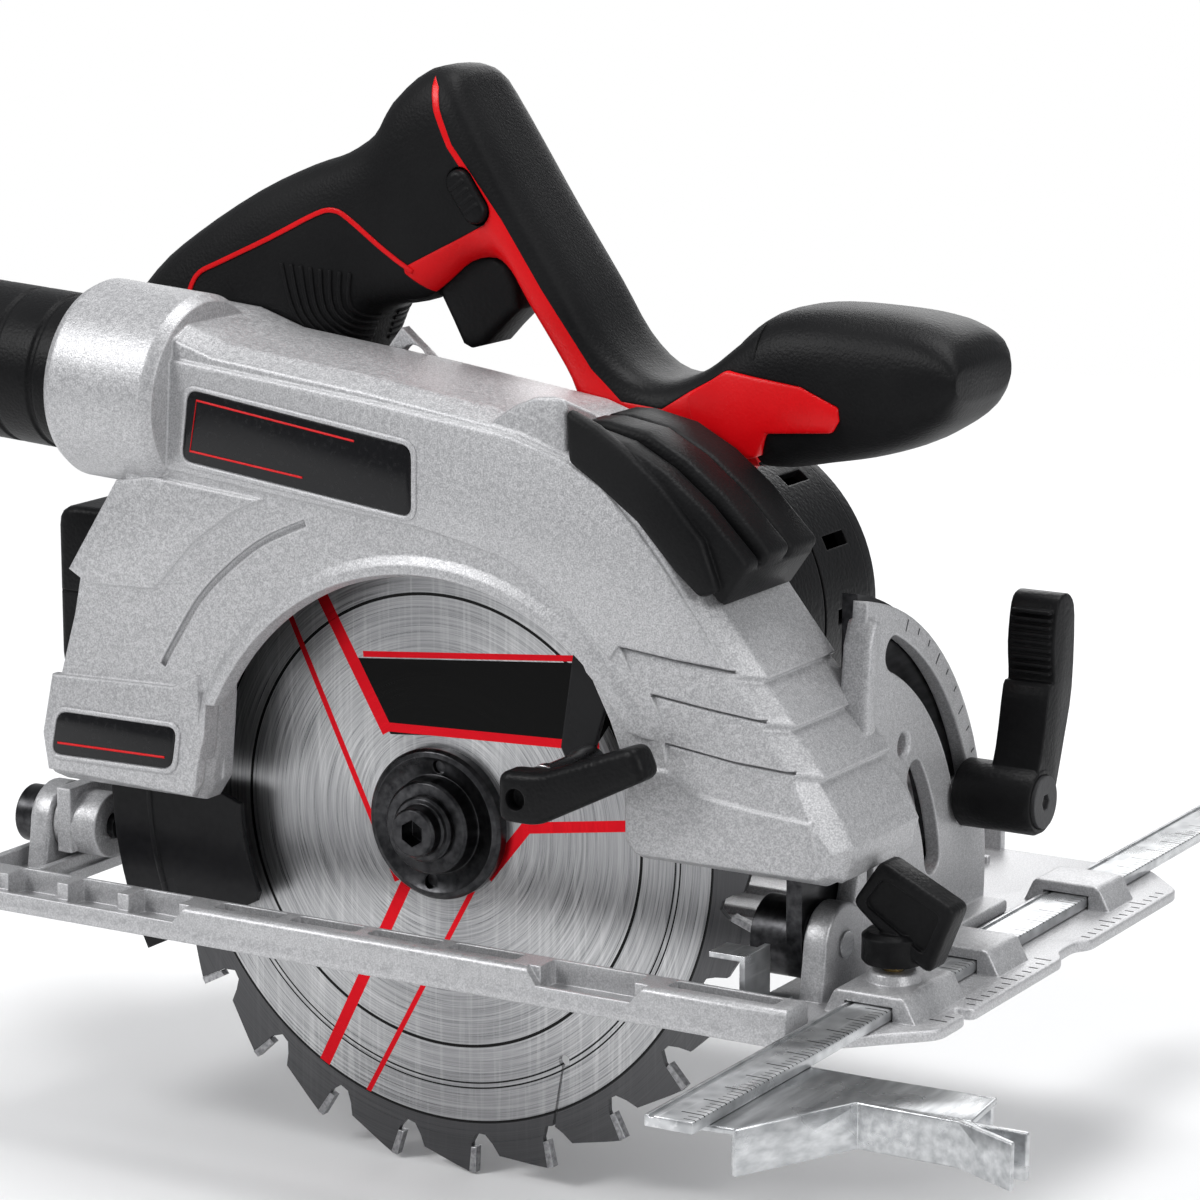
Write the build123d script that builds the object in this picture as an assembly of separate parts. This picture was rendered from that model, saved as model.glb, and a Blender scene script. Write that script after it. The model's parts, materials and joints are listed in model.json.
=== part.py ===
"""Cordless circular saw as an assembly of separate pieces.

Parts are drawn in the blade's frame: X forward along the cut, Y from the blade to the
motor with the blade's mid-plane at 0, Z up from the sole. On export everything moves by
BLADE_Y, which puts the origin on the sole, under the spindle and midway across the base.
"""
from build123d import *
import os
from math import atan2, cos, degrees, pi, radians, sin, sqrt

# ---------------------------------------------------------------- driving dimensions (mm)
BLADE_Y = -48.5                     # blade's place across the base
RUN = 0.06                          # radial clearance of a running fit
GAP = 0.3                           # clearance between pieces that move past each other

SPINDLE = (0.0, 30.0)               # x, z of the spindle axis
BLADE_R, BLADE_T, BORE_R = 95.0, 1.6, 10.0
TEETH, KERF = 24, 2.4
FIRST_TOOTH = 199.9                 # direction of one tooth tip, degrees from +X towards +Z

BASE_X = (-133.0, 154.0)
BASE_Y = (-44.0, 141.0)
BASE_T = 3.0
SLOT_X = (-113.0, 104.0)            # opening in the base for the blade
SLOT_Y = (-31.5, 18.6)
GUARD_NOTCH = ((-106.0, -46.0), (10.0, 31.5))   # x, y of the slot's wide part for the tilted guard

BEVEL = (-2.0, 15.0)                # y, z of the bevel axis, which runs along X
BEVEL_SLOT_R, BEVEL_OUT_R = 74.0, 85.0
BEVEL_REST, BEVEL_TRAVEL = 18.5, 45.0
LUG_FRONT, LUG_REAR = 119.6, -127.0

DEPTH = (116.0, 44.0)               # x, z of the depth axis, which runs along Y
DEPTH_ARC_R, DEPTH_TRAVEL = 170.0, 33.0
DEPTH_REST = 177.3                  # direction of the depth bolt seen from the depth axis

GUARD_Y = (-26.0, 15.0)             # outer face and inner edge of the blade guard
GUARD_WALL = 2.6
WINDOW, WINDOW_R = (11.9, 29.2), 71.5
LOWER_R = 100.6                     # outside of the lower guard
LOWER_ARC = (52.0, 207.0)           # the lower guard's span when it is open
BOSS_R = 28.0

GEAR_TEETH, IDLER_TEETH, PINION_TEETH, MODULE = 36, 22, 9, 1.25
IDLER_DIR, PINION_DIR = 45.0, 104.0  # spindle to idler, and idler to motor, degrees
MOTOR_R = 46.0
MOTOR_Y = (40.0, 112.0)

HANDLE_Y = (15.6, 49.6)
HANDLE_MID = sum(HANDLE_Y) / 2
PORT_FROM, PORT_SLOPE = (-96.0, 140.8), 3.6   # dust port's mouth in x, z and its rise to the rear
PORT_Y = -10.0
ADAPTER_R, ADAPTER_BORE, ADAPTER_L = 20.9, 18.0, 74.0

BAR_X, BAR_Z = (128.4, 141.0), (3.3, 6.3)
BAR_Y = (-117.0, 205.0)
CLAMP = (134.7, -5.5)               # x, y of the fence clamp screw

PARTS = {}


# ---------------------------------------------------------------- helpers
def box(x, y, z):
    """Box from three (low, high) pairs."""
    size = [high - low for low, high in (x, y, z)]
    middle = [(high + low) / 2 for low, high in (x, y, z)]
    return Pos(*middle) * Box(*size)


def polygon(points, radius=0.0):
    """Closed face through the points, with rounded corners if a radius is given."""
    if radius:
        return make_face(FilletPolyline(*points, radius=radius, close=True))
    return make_face(Polyline(*points, close=True))


def along_x(face, x0, x1):
    """Extrude a face drawn in (y, z) from x0 to x1."""
    return Pos(x0, 0, 0) * extrude(Plane.YZ * face, x1 - x0)


def along_y(face, y0, y1):
    """Extrude a face drawn in (x, z) from y0 to y1."""
    return Pos(0, y1, 0) * extrude(Plane.XZ * face, y1 - y0)


def along_z(face, z0, z1):
    """Extrude a face drawn in (x, y) from z0 to z1."""
    return Pos(0, 0, z0) * extrude(face, z1 - z0)


def ring(centre, r_out, r_in=0.0):
    """Disc or ring face about a point."""
    face = Circle(r_out)
    if r_in:
        face -= Circle(r_in)
    return Pos(*centre) * face


def polar(centre, radius, angle):
    """Point at a radius and a direction in degrees from a centre."""
    return (centre[0] + radius * cos(radians(angle)), centre[1] + radius * sin(radians(angle)))


def meshed(centre, teeth, other_teeth, direction):
    """Centre of a gear that meshes with the one at centre, in a direction."""
    return polar(centre, MODULE * (teeth + other_teeth) / 2, direction)


IDLER = meshed(SPINDLE, GEAR_TEETH, IDLER_TEETH, IDLER_DIR)
MOTOR = meshed(IDLER, IDLER_TEETH, PINION_TEETH, PINION_DIR)


def sector(centre, r_in, r_out, start, end):
    """Part of a ring between two directions."""
    middle = (start + end) / 2
    inner = [polar(centre, r_in, a) for a in (start, middle, end)]
    outer = [polar(centre, r_out, a) for a in (start, middle, end)]
    edges = [ThreePointArc(*outer), Line(outer[2], inner[2]),
             ThreePointArc(*inner), Line(inner[0], outer[0])]
    return make_face(edges)


def arc_slot(centre, radius, width, start, end):
    """Curved slot with round ends."""
    face = sector(centre, radius - width / 2, radius + width / 2, start, end)
    for angle in (start, end):
        face += Pos(*polar(centre, radius, angle)) * Circle(width / 2)
    return face


def round_along(axis, centre, r_out, low, high, r_in=0.0):
    """Cylinder or tube whose axis runs along "x", "y" or "z"."""
    draw = {"x": along_x, "y": along_y, "z": along_z}[axis]
    return draw(ring(centre, r_out, r_in), low, high)


def joined(pieces):
    """Union of a list of shapes."""
    result = pieces[0]
    for piece in pieces[1:]:
        result += piece
    return result


def keep(name, shape):
    PARTS[name] = shape


# ---------------------------------------------------------------- base
def base_plate():
    x0, x1 = BASE_X
    y0, y1 = BASE_Y
    corners = [(x0, y0), (128, y0), (x1, -18), (x1, 126), (140, y1), (x0, y1)]
    plate = along_z(polygon(corners, 4), 0, BASE_T)
    plate -= box(SLOT_X, SLOT_Y, (-1, 5)) + box(*GUARD_NOTCH, (-1, 5))
    plate += box((x0 + 3, 124), (y0, y0 + 2.6), (1, 8.8))
    plate += box((SLOT_X[0] - 6, SLOT_X[1] + 6), (SLOT_Y[0] - 2, SLOT_Y[0]), (1, 7.2))
    for x in range(-118, 125, 22):
        plate += box((x - 1, x + 1), (y0, SLOT_Y[0]), (1, 6.0))
    plate += box((x0 + 3, 96), (y1 - 2.6, y1), (1, 9.5))
    plate += box((x0, x0 + 2.6), (y0 + 3, y1 - 3), (1, 7.0))
    for y in (45, 65, 85, 105):
        plate += box((x0 + 1, 100), (y - 1, y + 1), (1, 5.0))
    for y_low, y_high in ((-19, 9), (28, 46), (96, 112)):
        plate += box((125.6, 143.8), (y_low, y_high), (1, 9.3))
    plate -= box((BAR_X[0] - GAP, BAR_X[1] + GAP), (y0 - 5, y1 + 5), (BASE_T, BAR_Z[1] + GAP))
    plate += round_along("z", CLAMP, 6.0, 9.0, 12.0)
    plate -= round_along("z", CLAMP, 2.9, 5.0, 13.0)
    plate -= box((x1 - 6, x1 + 1), (BEVEL[0] - 2, BEVEL[0] + 2), (-1, 5))
    plate += bevel_lug(LUG_FRONT - 6.6, LUG_FRONT) + bevel_lug(LUG_REAR, LUG_REAR + 6.6)
    return plate + key_clips()


def bevel_lug(x0, x1):
    """Upright ear with a round top and a press-fit hole for a bevel pin."""
    foot = polygon([(BEVEL[0] - 13, 1), (BEVEL[0] + 13, 1), (BEVEL[0] + 10.5, BEVEL[1]),
                    (BEVEL[0] - 10.5, BEVEL[1])])
    return along_x(foot + ring(BEVEL, 10.6), x0, x1) - round_along("x", BEVEL, 3.5, x0 - 1, x1 + 1)


def bevel_quadrant():
    """Upright sector with a curved slot for the bevel bolt."""
    face = sector(BEVEL, 20, BEVEL_OUT_R, -8, 80) & (Pos(60, 63) * Rectangle(80, 120))
    slot_from = BEVEL_REST - 4
    slot_to = BEVEL_REST + BEVEL_TRAVEL + 3
    face -= arc_slot(BEVEL, BEVEL_SLOT_R, 9, slot_from, slot_to)
    face -= arc_slot(BEVEL, 54, 8, 12, 36)
    face -= Pos(*polar(BEVEL, 56, 50)) * Circle(3)
    plate = along_x(face, 113, 117)
    plate += box((113, 124), (24, 84), (BASE_T, 6.5))
    return plate


def pivot_pins():
    keep("front_pivot_pin", round_along("x", BEVEL, 3.5, 98, LUG_FRONT + 0.6))
    keep("rear_pivot_pin", round_along("x", BEVEL, 3.5, LUG_REAR - 2, -104)
         + round_along("x", BEVEL, 8, LUG_REAR - 7, LUG_REAR - 0.2))


def cut_pointer():
    """Bent sheet tab that shows the line of the cut."""
    return (box((104.5, 112.5), (-29, -16), (BASE_T, 4.4))
            + box((104.5, 106), (-29, -16), (BASE_T, 16.6))
            + box((96, 106), (-29, -20), (15.2, 16.6)))


def hex_key():
    """Key lying in its clips on the base."""
    key = along_x(Pos(128, 6.8) * RegularPolygon(2.9, 6), -100, -25)
    return key + along_y(Pos(-25, 6.8) * RegularPolygon(2.9, 6), 108, 128)


def key_clips():
    clips = [box((x, x + 8), (123.5, 132.5), (BASE_T - 1, 11)) for x in (-90, -50)]
    return joined(clips) - box((-110, -30), (124.8, 131.2), (3.7, 9.9))


# ---------------------------------------------------------------- rip fence and its clamp
def fence_bar():
    return box(BAR_X, BAR_Y, BAR_Z)


def fence_foot():
    """Folded foot under the near end of the bar."""
    top = [(129, -110), (147, -108), (162, -77), (190, -76), (188, -58), (148, -60), (129, -63)]
    edge = [(146, -108.5), (147.6, -109), (162.6, -78), (205, -86), (204.8, -84.2), (161, -76)]
    tab = box((188, 204.6), (-86, -77.5), (-8, 3.3))
    return (along_z(polygon(top), 1.5, BAR_Z[0])
            + along_z(polygon([(147, -108), (162, -77), (160.4, -76), (145, -107)]), -8, 3.3)
            + box((160.5, 190), (-77.6, -76), (-8, 3.3)) + box((129, 188), (-61.2, -59.6), (-8, 3.3))
            + box((188, 204.6), (-77.6, -76), (-6, 2)))


def fence_clamp():
    x, y = CLAMP
    tab = [(124.9, 28.5), (132.8, 40.3), (153.3, 30.2), (146.5, 13.1), (136, 19)]
    knob = along_y(polygon(tab, 2), y - 4.5, y + 4.5) + round_along("z", CLAMP, 8, 14, 22)
    keep("fence_knob", knob - round_along("z", CLAMP, 2.5, 13, 19))
    keep("fence_screw", round_along("z", CLAMP, 2.5, BAR_Z[1] + 0.05, 19))


# ---------------------------------------------------------------- tilting brackets
def tilt_bracket():
    """Front bracket: hangs on the bevel pin, and carries the depth pin and the bevel bolt."""
    plate = sector(BEVEL, 20, BEVEL_OUT_R + 1.5, -6, 84) & (Pos(60, 66) * Rectangle(88, 120))
    plate -= sector(BEVEL, 30, 64, 8, 60)
    bracket = along_x(plate, 108.2, 112.5)
    bracket += round_along("x", BEVEL, 10, 98, LUG_FRONT - 7)
    bracket += box((108.2, 112.5), (-6, 30), (BEVEL[1], 31))
    bracket += box((108.2, 112.5), (-12, 10), (BEVEL[1], DEPTH[1]))
    bracket += round_along("y", DEPTH, 7.5, -19.8, 12.0)
    bracket -= round_along("y", DEPTH, 4.0, -25, 20)
    bracket -= round_along("x", BEVEL, 3.5 + RUN, 90, 125)
    bolt = polar(BEVEL, BEVEL_SLOT_R, BEVEL_REST)
    return bracket - round_along("x", bolt, 4.0, 100, 120)


def rear_bracket():
    """Rear bracket: hangs on the rear bevel pin, with the curved slot of the depth stop."""
    y0, y1 = 16.0, 19.5
    slot_from = DEPTH_REST - DEPTH_TRAVEL - 2.0
    slot_to = DEPTH_REST + 2.0
    arc = sector(DEPTH, DEPTH_ARC_R - 8, DEPTH_ARC_R + 8, slot_from - 1.5, slot_to + 6)
    arm = polygon([(-116, 8), (-60, 12), (-45, 26), (-46, 44), (-62, 44), (-76, 30), (-116, 26)])
    bracket = along_y(arc + arm, y0, y1)
    bracket -= along_y(arc_slot(DEPTH, DEPTH_ARC_R, 8.6, slot_from, slot_to), y0 - 1, y1 + 1)
    bracket += box((-118.5, -114), (BEVEL[0] - 9, y1), (8, 26))
    bracket += round_along("x", BEVEL, 9, -120, -106)
    return bracket - round_along("x", BEVEL, 3.5 + RUN, -125, -100)


def bevel_bolt():
    centre = polar(BEVEL, BEVEL_SLOT_R, BEVEL_REST)
    return round_along("x", centre, 4.0, 104, 138) + round_along("x", centre, 7, 104, 108.2)


def bevel_lever():
    """Clamping lever with a round hub and a ribbed thumb pad."""
    y, z = polar(BEVEL, BEVEL_SLOT_R, BEVEL_REST)
    arm = [(y - 6, z + 2), (y + 9, z + 2), (y + 17.5, z + 27), (y + 18, z + 46), (y + 14, z + 52.5),
           (y + 8, z + 52.5), (y + 5.5, z + 31), (y - 0.5, z + 13)]
    lever = round_along("x", (y, z), 9, 118, 140) + along_x(polygon(arm, 2), 126.5, 139.8)
    lever -= round_along("x", (y, z), 4.0 + RUN, 110, 138.4)
    keep("bevel_lever", lever - round_along("x", (y, z), 7.0, 138.4, 141))
    cap = round_along("x", (y, z), 6.9, 138.6, 141)
    keep("bevel_lever_cap", cap - along_x(Pos(y, z) * RegularPolygon(2.3, 6), 139.4, 142))


# ---------------------------------------------------------------- blade guard
GUARD_OUTLINE = [
    (-111, 32), (-111.5, 46), (-106.5, 65), (-102, 80), (-99.5, 92), (-90, 107), (-84, 118),
    (-84, 150), (-78, 160), (-66, 159), (-52, 154.5), (41, 143), (67, 132), (84, 114), (95, 98),
    (105, 83.5), (121, 60.5), (131, 45.5), (129, 36), (122, 34.5), (72, 34.5), (67.5, 39),
    (67.5, 50), (60, 60), (-56, 60), (-58, 36), (-62, 31.5),
]


def guard_face(inset=0.0):
    face = polygon(GUARD_OUTLINE, 2.5)
    return offset(face, -inset, kind=Kind.INTERSECTION) if inset else face


def dust_axis(distance):
    """Plane square to the dust port, at a distance rearward from its mouth."""
    slope = radians(PORT_SLOPE)
    start = (PORT_FROM[0] - distance * cos(slope), PORT_Y, PORT_FROM[1] + distance * sin(slope))
    return Plane(origin=start, z_dir=(-cos(slope), 0, sin(slope)))


def tube_on_port(r_out, r_in, start, end):
    face = Circle(r_out) - Circle(r_in) if r_in else Circle(r_out)
    return extrude(dust_axis(start) * face, end - start)


def upper_guard():
    y0, y1 = GUARD_Y
    body = along_y(guard_face(), y0, y1)
    outer_edges = body.edges().filter_by_position(Axis.Y, y0 - 0.01, y0 + 0.01)
    body = chamfer(outer_edges, 2.0)
    body += tube_on_port(26.5, 0, -26, 5)
    body -= along_y(guard_face(3.0), y0 + GUARD_WALL, y1 + 1)
    body -= tube_on_port(18.6, 0, -20, 6)
    body -= tube_on_port(ADAPTER_R + 0.3, 0, -8, 6)
    body -= box((-120, -50), (y1, y1 + 30), (100, 180))
    body += along_y(ring(WINDOW, WINDOW_R + 2.6) & guard_face(), y0 + 0.4, -20)
    nose = box((67.5, 100), (y0 - 6, -18), (20, 62))
    body -= round_along("y", WINDOW, WINDOW_R, y0 - 5, -19) - nose
    body -= box((-56, 66), (y0 + GUARD_WALL, y1 + 2), (-60, 64))
    body -= box((-104, -50), (-13, y1 + 1), (20, 64))
    body -= box((60, 100), (-21, y1 + 1), (30, 64)) + box((60, 127), (-21, y1 + 1), (30, 45))
    body += round_along("y", DEPTH, 9, y0 + 1, -20.2)
    return body - round_along("y", DEPTH, 4 + RUN, -23, -15)


def guard_back_plate():
    """Flat back of the blade guard with the boss that the lower guard turns on."""
    back = guard_face(3.4) - (Pos(-60, 0) * Rectangle(200, 62)) - (Pos(110, 20) * Rectangle(90, 66))
    plate = along_y(back, 12.5, 15.0)
    ear = polygon([(40, 64), (108, 64), (124, 48), (124, 40), (116, 35.2), (107, 40), (84, 56)])
    hanger = polygon([(-27, 34), (-27, 64), (27, 64), (27, 34)])
    plate += along_y(ear + hanger, 12.5, 15.0) - tube_on_port(26.6, 0, -34, 10)
    plate += round_along("y", SPINDLE, BOSS_R, 7.4, 15.0)
    plate -= round_along("y", SPINDLE, 16, 0, 20)
    plate -= round_along("y", DEPTH, 4 + RUN, 10, 20)
    return plate - round_along("y", depth_bolt_at(), 4.0, 10, 20)


def depth_bolt_at():
    return polar(DEPTH, DEPTH_ARC_R, DEPTH_REST)


def front_bumper():
    """Ribbed rubber cap over the guard's front shoulder."""
    outer = [(44, 147), (56, 145), (70, 139), (90, 127), (103, 113), (96, 103), (88, 110),
             (70, 129), (54, 137), (44, 141)]
    return along_y(polygon(outer, 2), -24, 12.0) - along_y(guard_face(), -30, 20)


def badges():
    """Side badge under the top edge and rear badge on the lower block."""
    y = GUARD_Y[0]
    side = [(-61.5, 124.8), (8.7, 116.3), (8.9, 133.8), (-59.5, 142.6)]
    rear = [(-106, 41.2), (-66.8, 41.2), (-65.4, 52.4), (-104.2, 52.4)]
    return [along_y(polygon(points, 2), y - 0.9, y - 0.02) for points in (side, rear)]


def lower_guard():
    """Swinging guard: a rim with a full back and a narrow front, which turns on the boss."""
    start, end = LOWER_ARC
    back = sector(SPINDLE, 29, LOWER_R, start, end) + ring(SPINDLE, 34)
    back -= ring(SPINDLE, BOSS_R + RUN)
    guard = along_y(back, 8.2, 9.8)
    guard += along_y(sector(SPINDLE, LOWER_R - 2, LOWER_R, start, end), -9.6, 9.8)
    front = sector(SPINDLE, 82, LOWER_R, start, end)
    front += sector(SPINDLE, 58, LOWER_R, end - 28, end)
    guard += along_y(front, -9.6, -8.0)
    tab = polygon([polar(SPINDLE, 50, 17), polar(SPINDLE, 50, 33), polar(SPINDLE, 90, 57),
                   polar(SPINDLE, 97, 53), polar(SPINDLE, 84, 44)])
    return guard + along_y(tab, -9.6, -8.0)


STEM = polar(SPINDLE, 56, 25)


def guard_lever():
    keep("guard_stem", round_along("y", STEM, 5.0, -33, -9.6))
    arm = [(STEM[0] - 7, STEM[1] - 8), (STEM[0] + 2, STEM[1] - 8), (STEM[0] + 34, STEM[1] + 8),
           (STEM[0] + 30, STEM[1] + 15), (STEM[0] - 7, STEM[1] + 4)]
    keep("guard_lever", along_y(polygon(arm, 2.5), -42, -33))


def guard_spring():
    return round_along("y", SPINDLE, 32, 10.4, 12.0, 29)


# ---------------------------------------------------------------- dust adapter
def dust_adapter():
    """Hose adapter with shallow grooves, pushed onto the dust port."""
    adapter = tube_on_port(ADAPTER_R, ADAPTER_BORE, -7, ADAPTER_L)
    for start in range(12, int(ADAPTER_L) - 4, 13):
        adapter -= tube_on_port(ADAPTER_R + 1, ADAPTER_R - 0.6, start, start + 1.4)
    return adapter


# ---------------------------------------------------------------- blade and spindle
def tooth_outline(index):
    """Points of one tooth, from its tip forward to the root of the next."""
    angle = FIRST_TOOTH + index * 360 / TEETH
    steps = [(0, BLADE_R), (0.9, 87.0), (2.2, 84.2), (3.9, 84.6), (5.2, 87.2), (6.2, 90.4),
             (12.6, 93.6)]
    return [polar(SPINDLE, radius, angle + step) for step, radius in steps]


def blade():
    points = [point for index in range(TEETH) for point in tooth_outline(index)]
    face = polygon(points) - ring(SPINDLE, BORE_R)
    for index in range(0, TEETH, 6):
        angle = FIRST_TOOTH + index * 15 + 3
        start, end = polar(SPINDLE, 86, angle), polar(SPINDLE, 70, angle + 9)
        face -= polygon([start, polar(SPINDLE, 86, angle + 0.6), polar(SPINDLE, 70, angle + 9.7), end])
        face -= Pos(*polar(SPINDLE, 70, angle + 9.4)) * Circle(1.6)
    return along_y(face, -BLADE_T / 2, BLADE_T / 2)


def blade_tips():
    """Carbide tip on the leading face of each tooth, wider than the blade."""
    tips = []
    for index in range(TEETH):
        angle = FIRST_TOOTH + index * 15
        corners = [(0.05, BLADE_R - 0.1), (0.85, 88.0), (1.9, 88.0), (1.2, BLADE_R + 0.1)]
        face = polygon([polar(SPINDLE, radius, angle + step) for step, radius in corners])
        tips.append(along_y(face, -KERF / 2, KERF / 2))
    return tips


def flanges_and_bolt():
    half = BLADE_T / 2
    inner = round_along("y", SPINDLE, 19, half, 6.2) + round_along("y", SPINDLE, 9.95, -0.6, half)
    keep("inner_flange", inner - round_along("y", SPINDLE, 6.0, -2, 7))
    outer = round_along("y", SPINDLE, 20.2, -5.0, -half) + round_along("y", SPINDLE, 12.5, -8.6, -5)
    for angle in (85, 265):
        outer -= round_along("y", polar(SPINDLE, 15.6, angle), 1.8, -6, -2.5)
    keep("outer_flange", outer - round_along("y", SPINDLE, 4.0, -10, 0))
    bolt = round_along("y", SPINDLE, 8.8, -10.6, -8.6) + round_along("y", SPINDLE, 6.6, -15, -10.6)
    bolt += round_along("y", SPINDLE, 4.0, -8.6, 22)
    keep("blade_bolt", bolt - along_y(Pos(*SPINDLE) * RegularPolygon(3.4, 6), -16, -10))


def spindle():
    shaft = round_along("y", SPINDLE, 6.0, -0.5, 39) + round_along("y", SPINDLE, 8.5, 6.2, 18)
    return shaft - round_along("y", SPINDLE, 4.0, -1, 23)


def gear_face(centre, teeth, phase):
    """Spur gear with involute flanks; phase is the direction of one tooth."""
    pitch_r = MODULE * teeth / 2
    base_r = pitch_r * cos(radians(20))
    tip_r, root_r = pitch_r + 0.72 * MODULE, pitch_r - 1.1 * MODULE
    half_tooth = 0.21 * 360 / teeth + degrees(20 * pi / 180 * -1 + sin(radians(20)) / cos(radians(20)))

    def flank_angle(radius):
        roll = sqrt(max((radius / base_r) ** 2 - 1, 0))
        return degrees(roll - atan2(roll, 1))

    start_r = max(base_r, root_r + 0.1)
    radii = [start_r + (tip_r - start_r) * step / 4 for step in range(5)]
    points = []
    for tooth in range(teeth):
        middle = phase + tooth * 360 / teeth
        rise = [(root_r, -half_tooth)] + [(r, -half_tooth + flank_angle(r)) for r in radii]
        fall = [(r, half_tooth - flank_angle(r)) for r in reversed(radii)] + [(root_r, half_tooth)]
        points += [polar(centre, radius, middle + turn) for radius, turn in rise + fall]
    return polygon(points)


def mate_phase(phase, teeth, other_teeth, direction):
    """Direction of a tooth on the gear that meshes with one whose tooth points at phase."""
    lead = (phase - direction) % (360 / teeth)
    return direction + 180 - lead * teeth / other_teeth + 180 / other_teeth


def gears():
    gear_phase = 180 / GEAR_TEETH
    idler_phase = mate_phase(gear_phase, GEAR_TEETH, IDLER_TEETH, IDLER_DIR)
    pinion_phase = mate_phase(idler_phase, IDLER_TEETH, PINION_TEETH, PINION_DIR)
    gear = along_y(gear_face(SPINDLE, GEAR_TEETH, gear_phase), 20.5, 28)
    keep("drive_gear", gear - round_along("y", SPINDLE, 6.0, 15, 30))
    idler = along_y(gear_face(IDLER, IDLER_TEETH, idler_phase), 20, 28.5)
    keep("idler_gear", idler + round_along("y", IDLER, 3.5, 15.5, 37))
    pinion = along_y(gear_face(MOTOR, PINION_TEETH, pinion_phase), 19.5, 29)
    keep("pinion", pinion - round_along("y", MOTOR, 3.5, 15, 30))


def bearings():
    keep("spindle_bearings", [round_along("y", SPINDLE, 16, 8.2, 14.8, 8.5 + RUN),
                              round_along("y", SPINDLE, 11, 32, 37, 6.0 + RUN)])
    keep("motor_bearings", [round_along("y", MOTOR, 11, 32, 38, 3.5 + RUN),
                            round_along("y", MOTOR, 11, 112, 118, 3.5 + RUN)])


# ---------------------------------------------------------------- gear case and motor
def gear_case():
    """Cast case behind the guard with seats for the inner bearings."""
    outer = ring(SPINDLE, 25.6) + ring(IDLER, 18) + ring(MOTOR, 30)
    outer += polygon([(-25, 36), (-16, 84), (44, 66), (43, 50), (22, 17)])
    inner = ring(SPINDLE, 24) + ring(IDLER, 15.6) + ring(MOTOR, 8)
    case = along_y(outer, 15, 40) - along_y(inner, 17.5, 31.0)
    case -= round_along("y", SPINDLE, 9.2, 10, 20) + round_along("y", SPINDLE, 6.6, 30, 41)
    case -= round_along("y", SPINDLE, 11, 30, 37) + round_along("y", MOTOR, 11, 30, 38)
    case -= round_along("y", IDLER, 3.5 + RUN, 15.2, 37.2) + round_along("y", MOTOR, 5, 30, 41)
    case -= round_along("x", LOCK_AT, 3.0 + RUN, 20, 60)
    return case


def motor_housing():
    """Ribbed cup round the motor, with slots for the cooling air."""
    y0, y1 = MOTOR_Y
    housing = round_along("y", MOTOR, MOTOR_R, y0, y1) - round_along("y", MOTOR, MOTOR_R - 3, y0 + 3, y1 + 1)
    housing -= round_along("y", MOTOR, 6, y0 - 1, y0 + 4)
    for step in range(14):
        angle = step * 360 / 14
        slot = Pos(MOTOR[0], 100, MOTOR[1]) * Rot(0, angle, 0) * Pos(MOTOR_R, 0, 0) * Box(12, 12, 4)
        housing -= slot
    return housing


def motor_end_cap():
    y1 = MOTOR_Y[1]
    cap = round_along("y", MOTOR, MOTOR_R, y1, y1 + 9)
    cap = chamfer(cap.edges().sort_by(Axis.Y)[-1:], 5)
    cap -= round_along("y", MOTOR, 11, y1 - 1, y1 + 6)
    for angle in range(0, 360, 30):
        slot = Pos(MOTOR[0], y1 + 4, MOTOR[1]) * Rot(0, angle, 0) * Pos(26, 0, 0) * Box(16, 20, 3)
        cap -= slot
    return cap


def motor_inside():
    stator = round_along("y", MOTOR, MOTOR_R - 3.0, 64, 94, 36)
    for angle in range(0, 360, 40):
        stator += Pos(MOTOR[0], 79, MOTOR[1]) * Rot(0, angle, 0) * Pos(32, 0, 0) * Box(10, 30, 8)
    keep("stator", stator)
    keep("rotor", round_along("y", MOTOR, 26.2, 65, 93, 3.5))
    keep("motor_shaft", round_along("y", MOTOR, 3.5, 18.5, 117.5))
    fan = round_along("y", MOTOR, 38, 56, 58, 3.5) + round_along("y", MOTOR, 9, 48, 58, 3.5)
    for angle in range(0, 360, 30):
        fan += Pos(MOTOR[0], 52.5, MOTOR[1]) * Rot(0, angle, 0) * Pos(27, 0, 0) * Box(18, 8, 1.6)
    keep("fan", fan)


LOCK_AT = (24.2, SPINDLE[1] - 10)


def spindle_lock():
    """Push button whose tip enters a gap between the gear's teeth."""
    return round_along("x", LOCK_AT, 3.0, 26.5, 34) + round_along("x", LOCK_AT, 6, 31.5, 35.5)


def housing_screws():
    """Cap screws that hold the motor end cap to its housing."""
    y1 = MOTOR_Y[1]
    return [round_along("y", polar(MOTOR, 37, angle), 2.8, y1 + 9.05, y1 + 11.5)
            for angle in (45, 135, 225, 315)]


# ---------------------------------------------------------------- handle
HANDLE_OUTER = [
    (-118, 113), (-119, 150), (-107, 166), (-93, 177), (-73, 189), (-53, 197.5), (-40, 202),
    (-32, 209), (-26, 218), (-17, 224.5), (-8, 223.5), (-3, 215), (9, 197), (27, 171), (37, 156),
    (46, 149), (56, 148), (67, 153), (75, 160), (82, 166), (97, 169), (119, 168), (137, 164),
    (142.5, 156), (140, 149), (130, 140), (119, 134), (97, 129.5), (74, 127.5), (62, 127.5),
]
HANDLE_UNDER = [
    (58, 112), (30, 117), (31, 140), (24, 153), (16, 163.5), (3, 164), (-20, 164), (-30, 163.5),
    (-37, 158), (-39.5, 150), (-46, 138), (-62, 126), (-72, 119), (-73, 113),
]
SHELL_OUTER = [
    (-114, 113), (-114.5, 148), (-104, 162), (-91, 173), (-71, 185), (-52, 193.5), (-38, 198.5),
    (-28, 206), (-22, 214.5), (-16, 220), (-10, 219.5), (-6.5, 213), (5, 195), (23, 169),
    (33, 153.5), (44, 145), (57, 144), (70, 149), (77, 152.5), (96, 149.7), (107, 146),
    (107, 140), (87, 138), (84, 131.5), (62, 128),
]
BUTTON_AT, BUTTON_TILT = (-1.0, 192.0), -55.0
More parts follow.
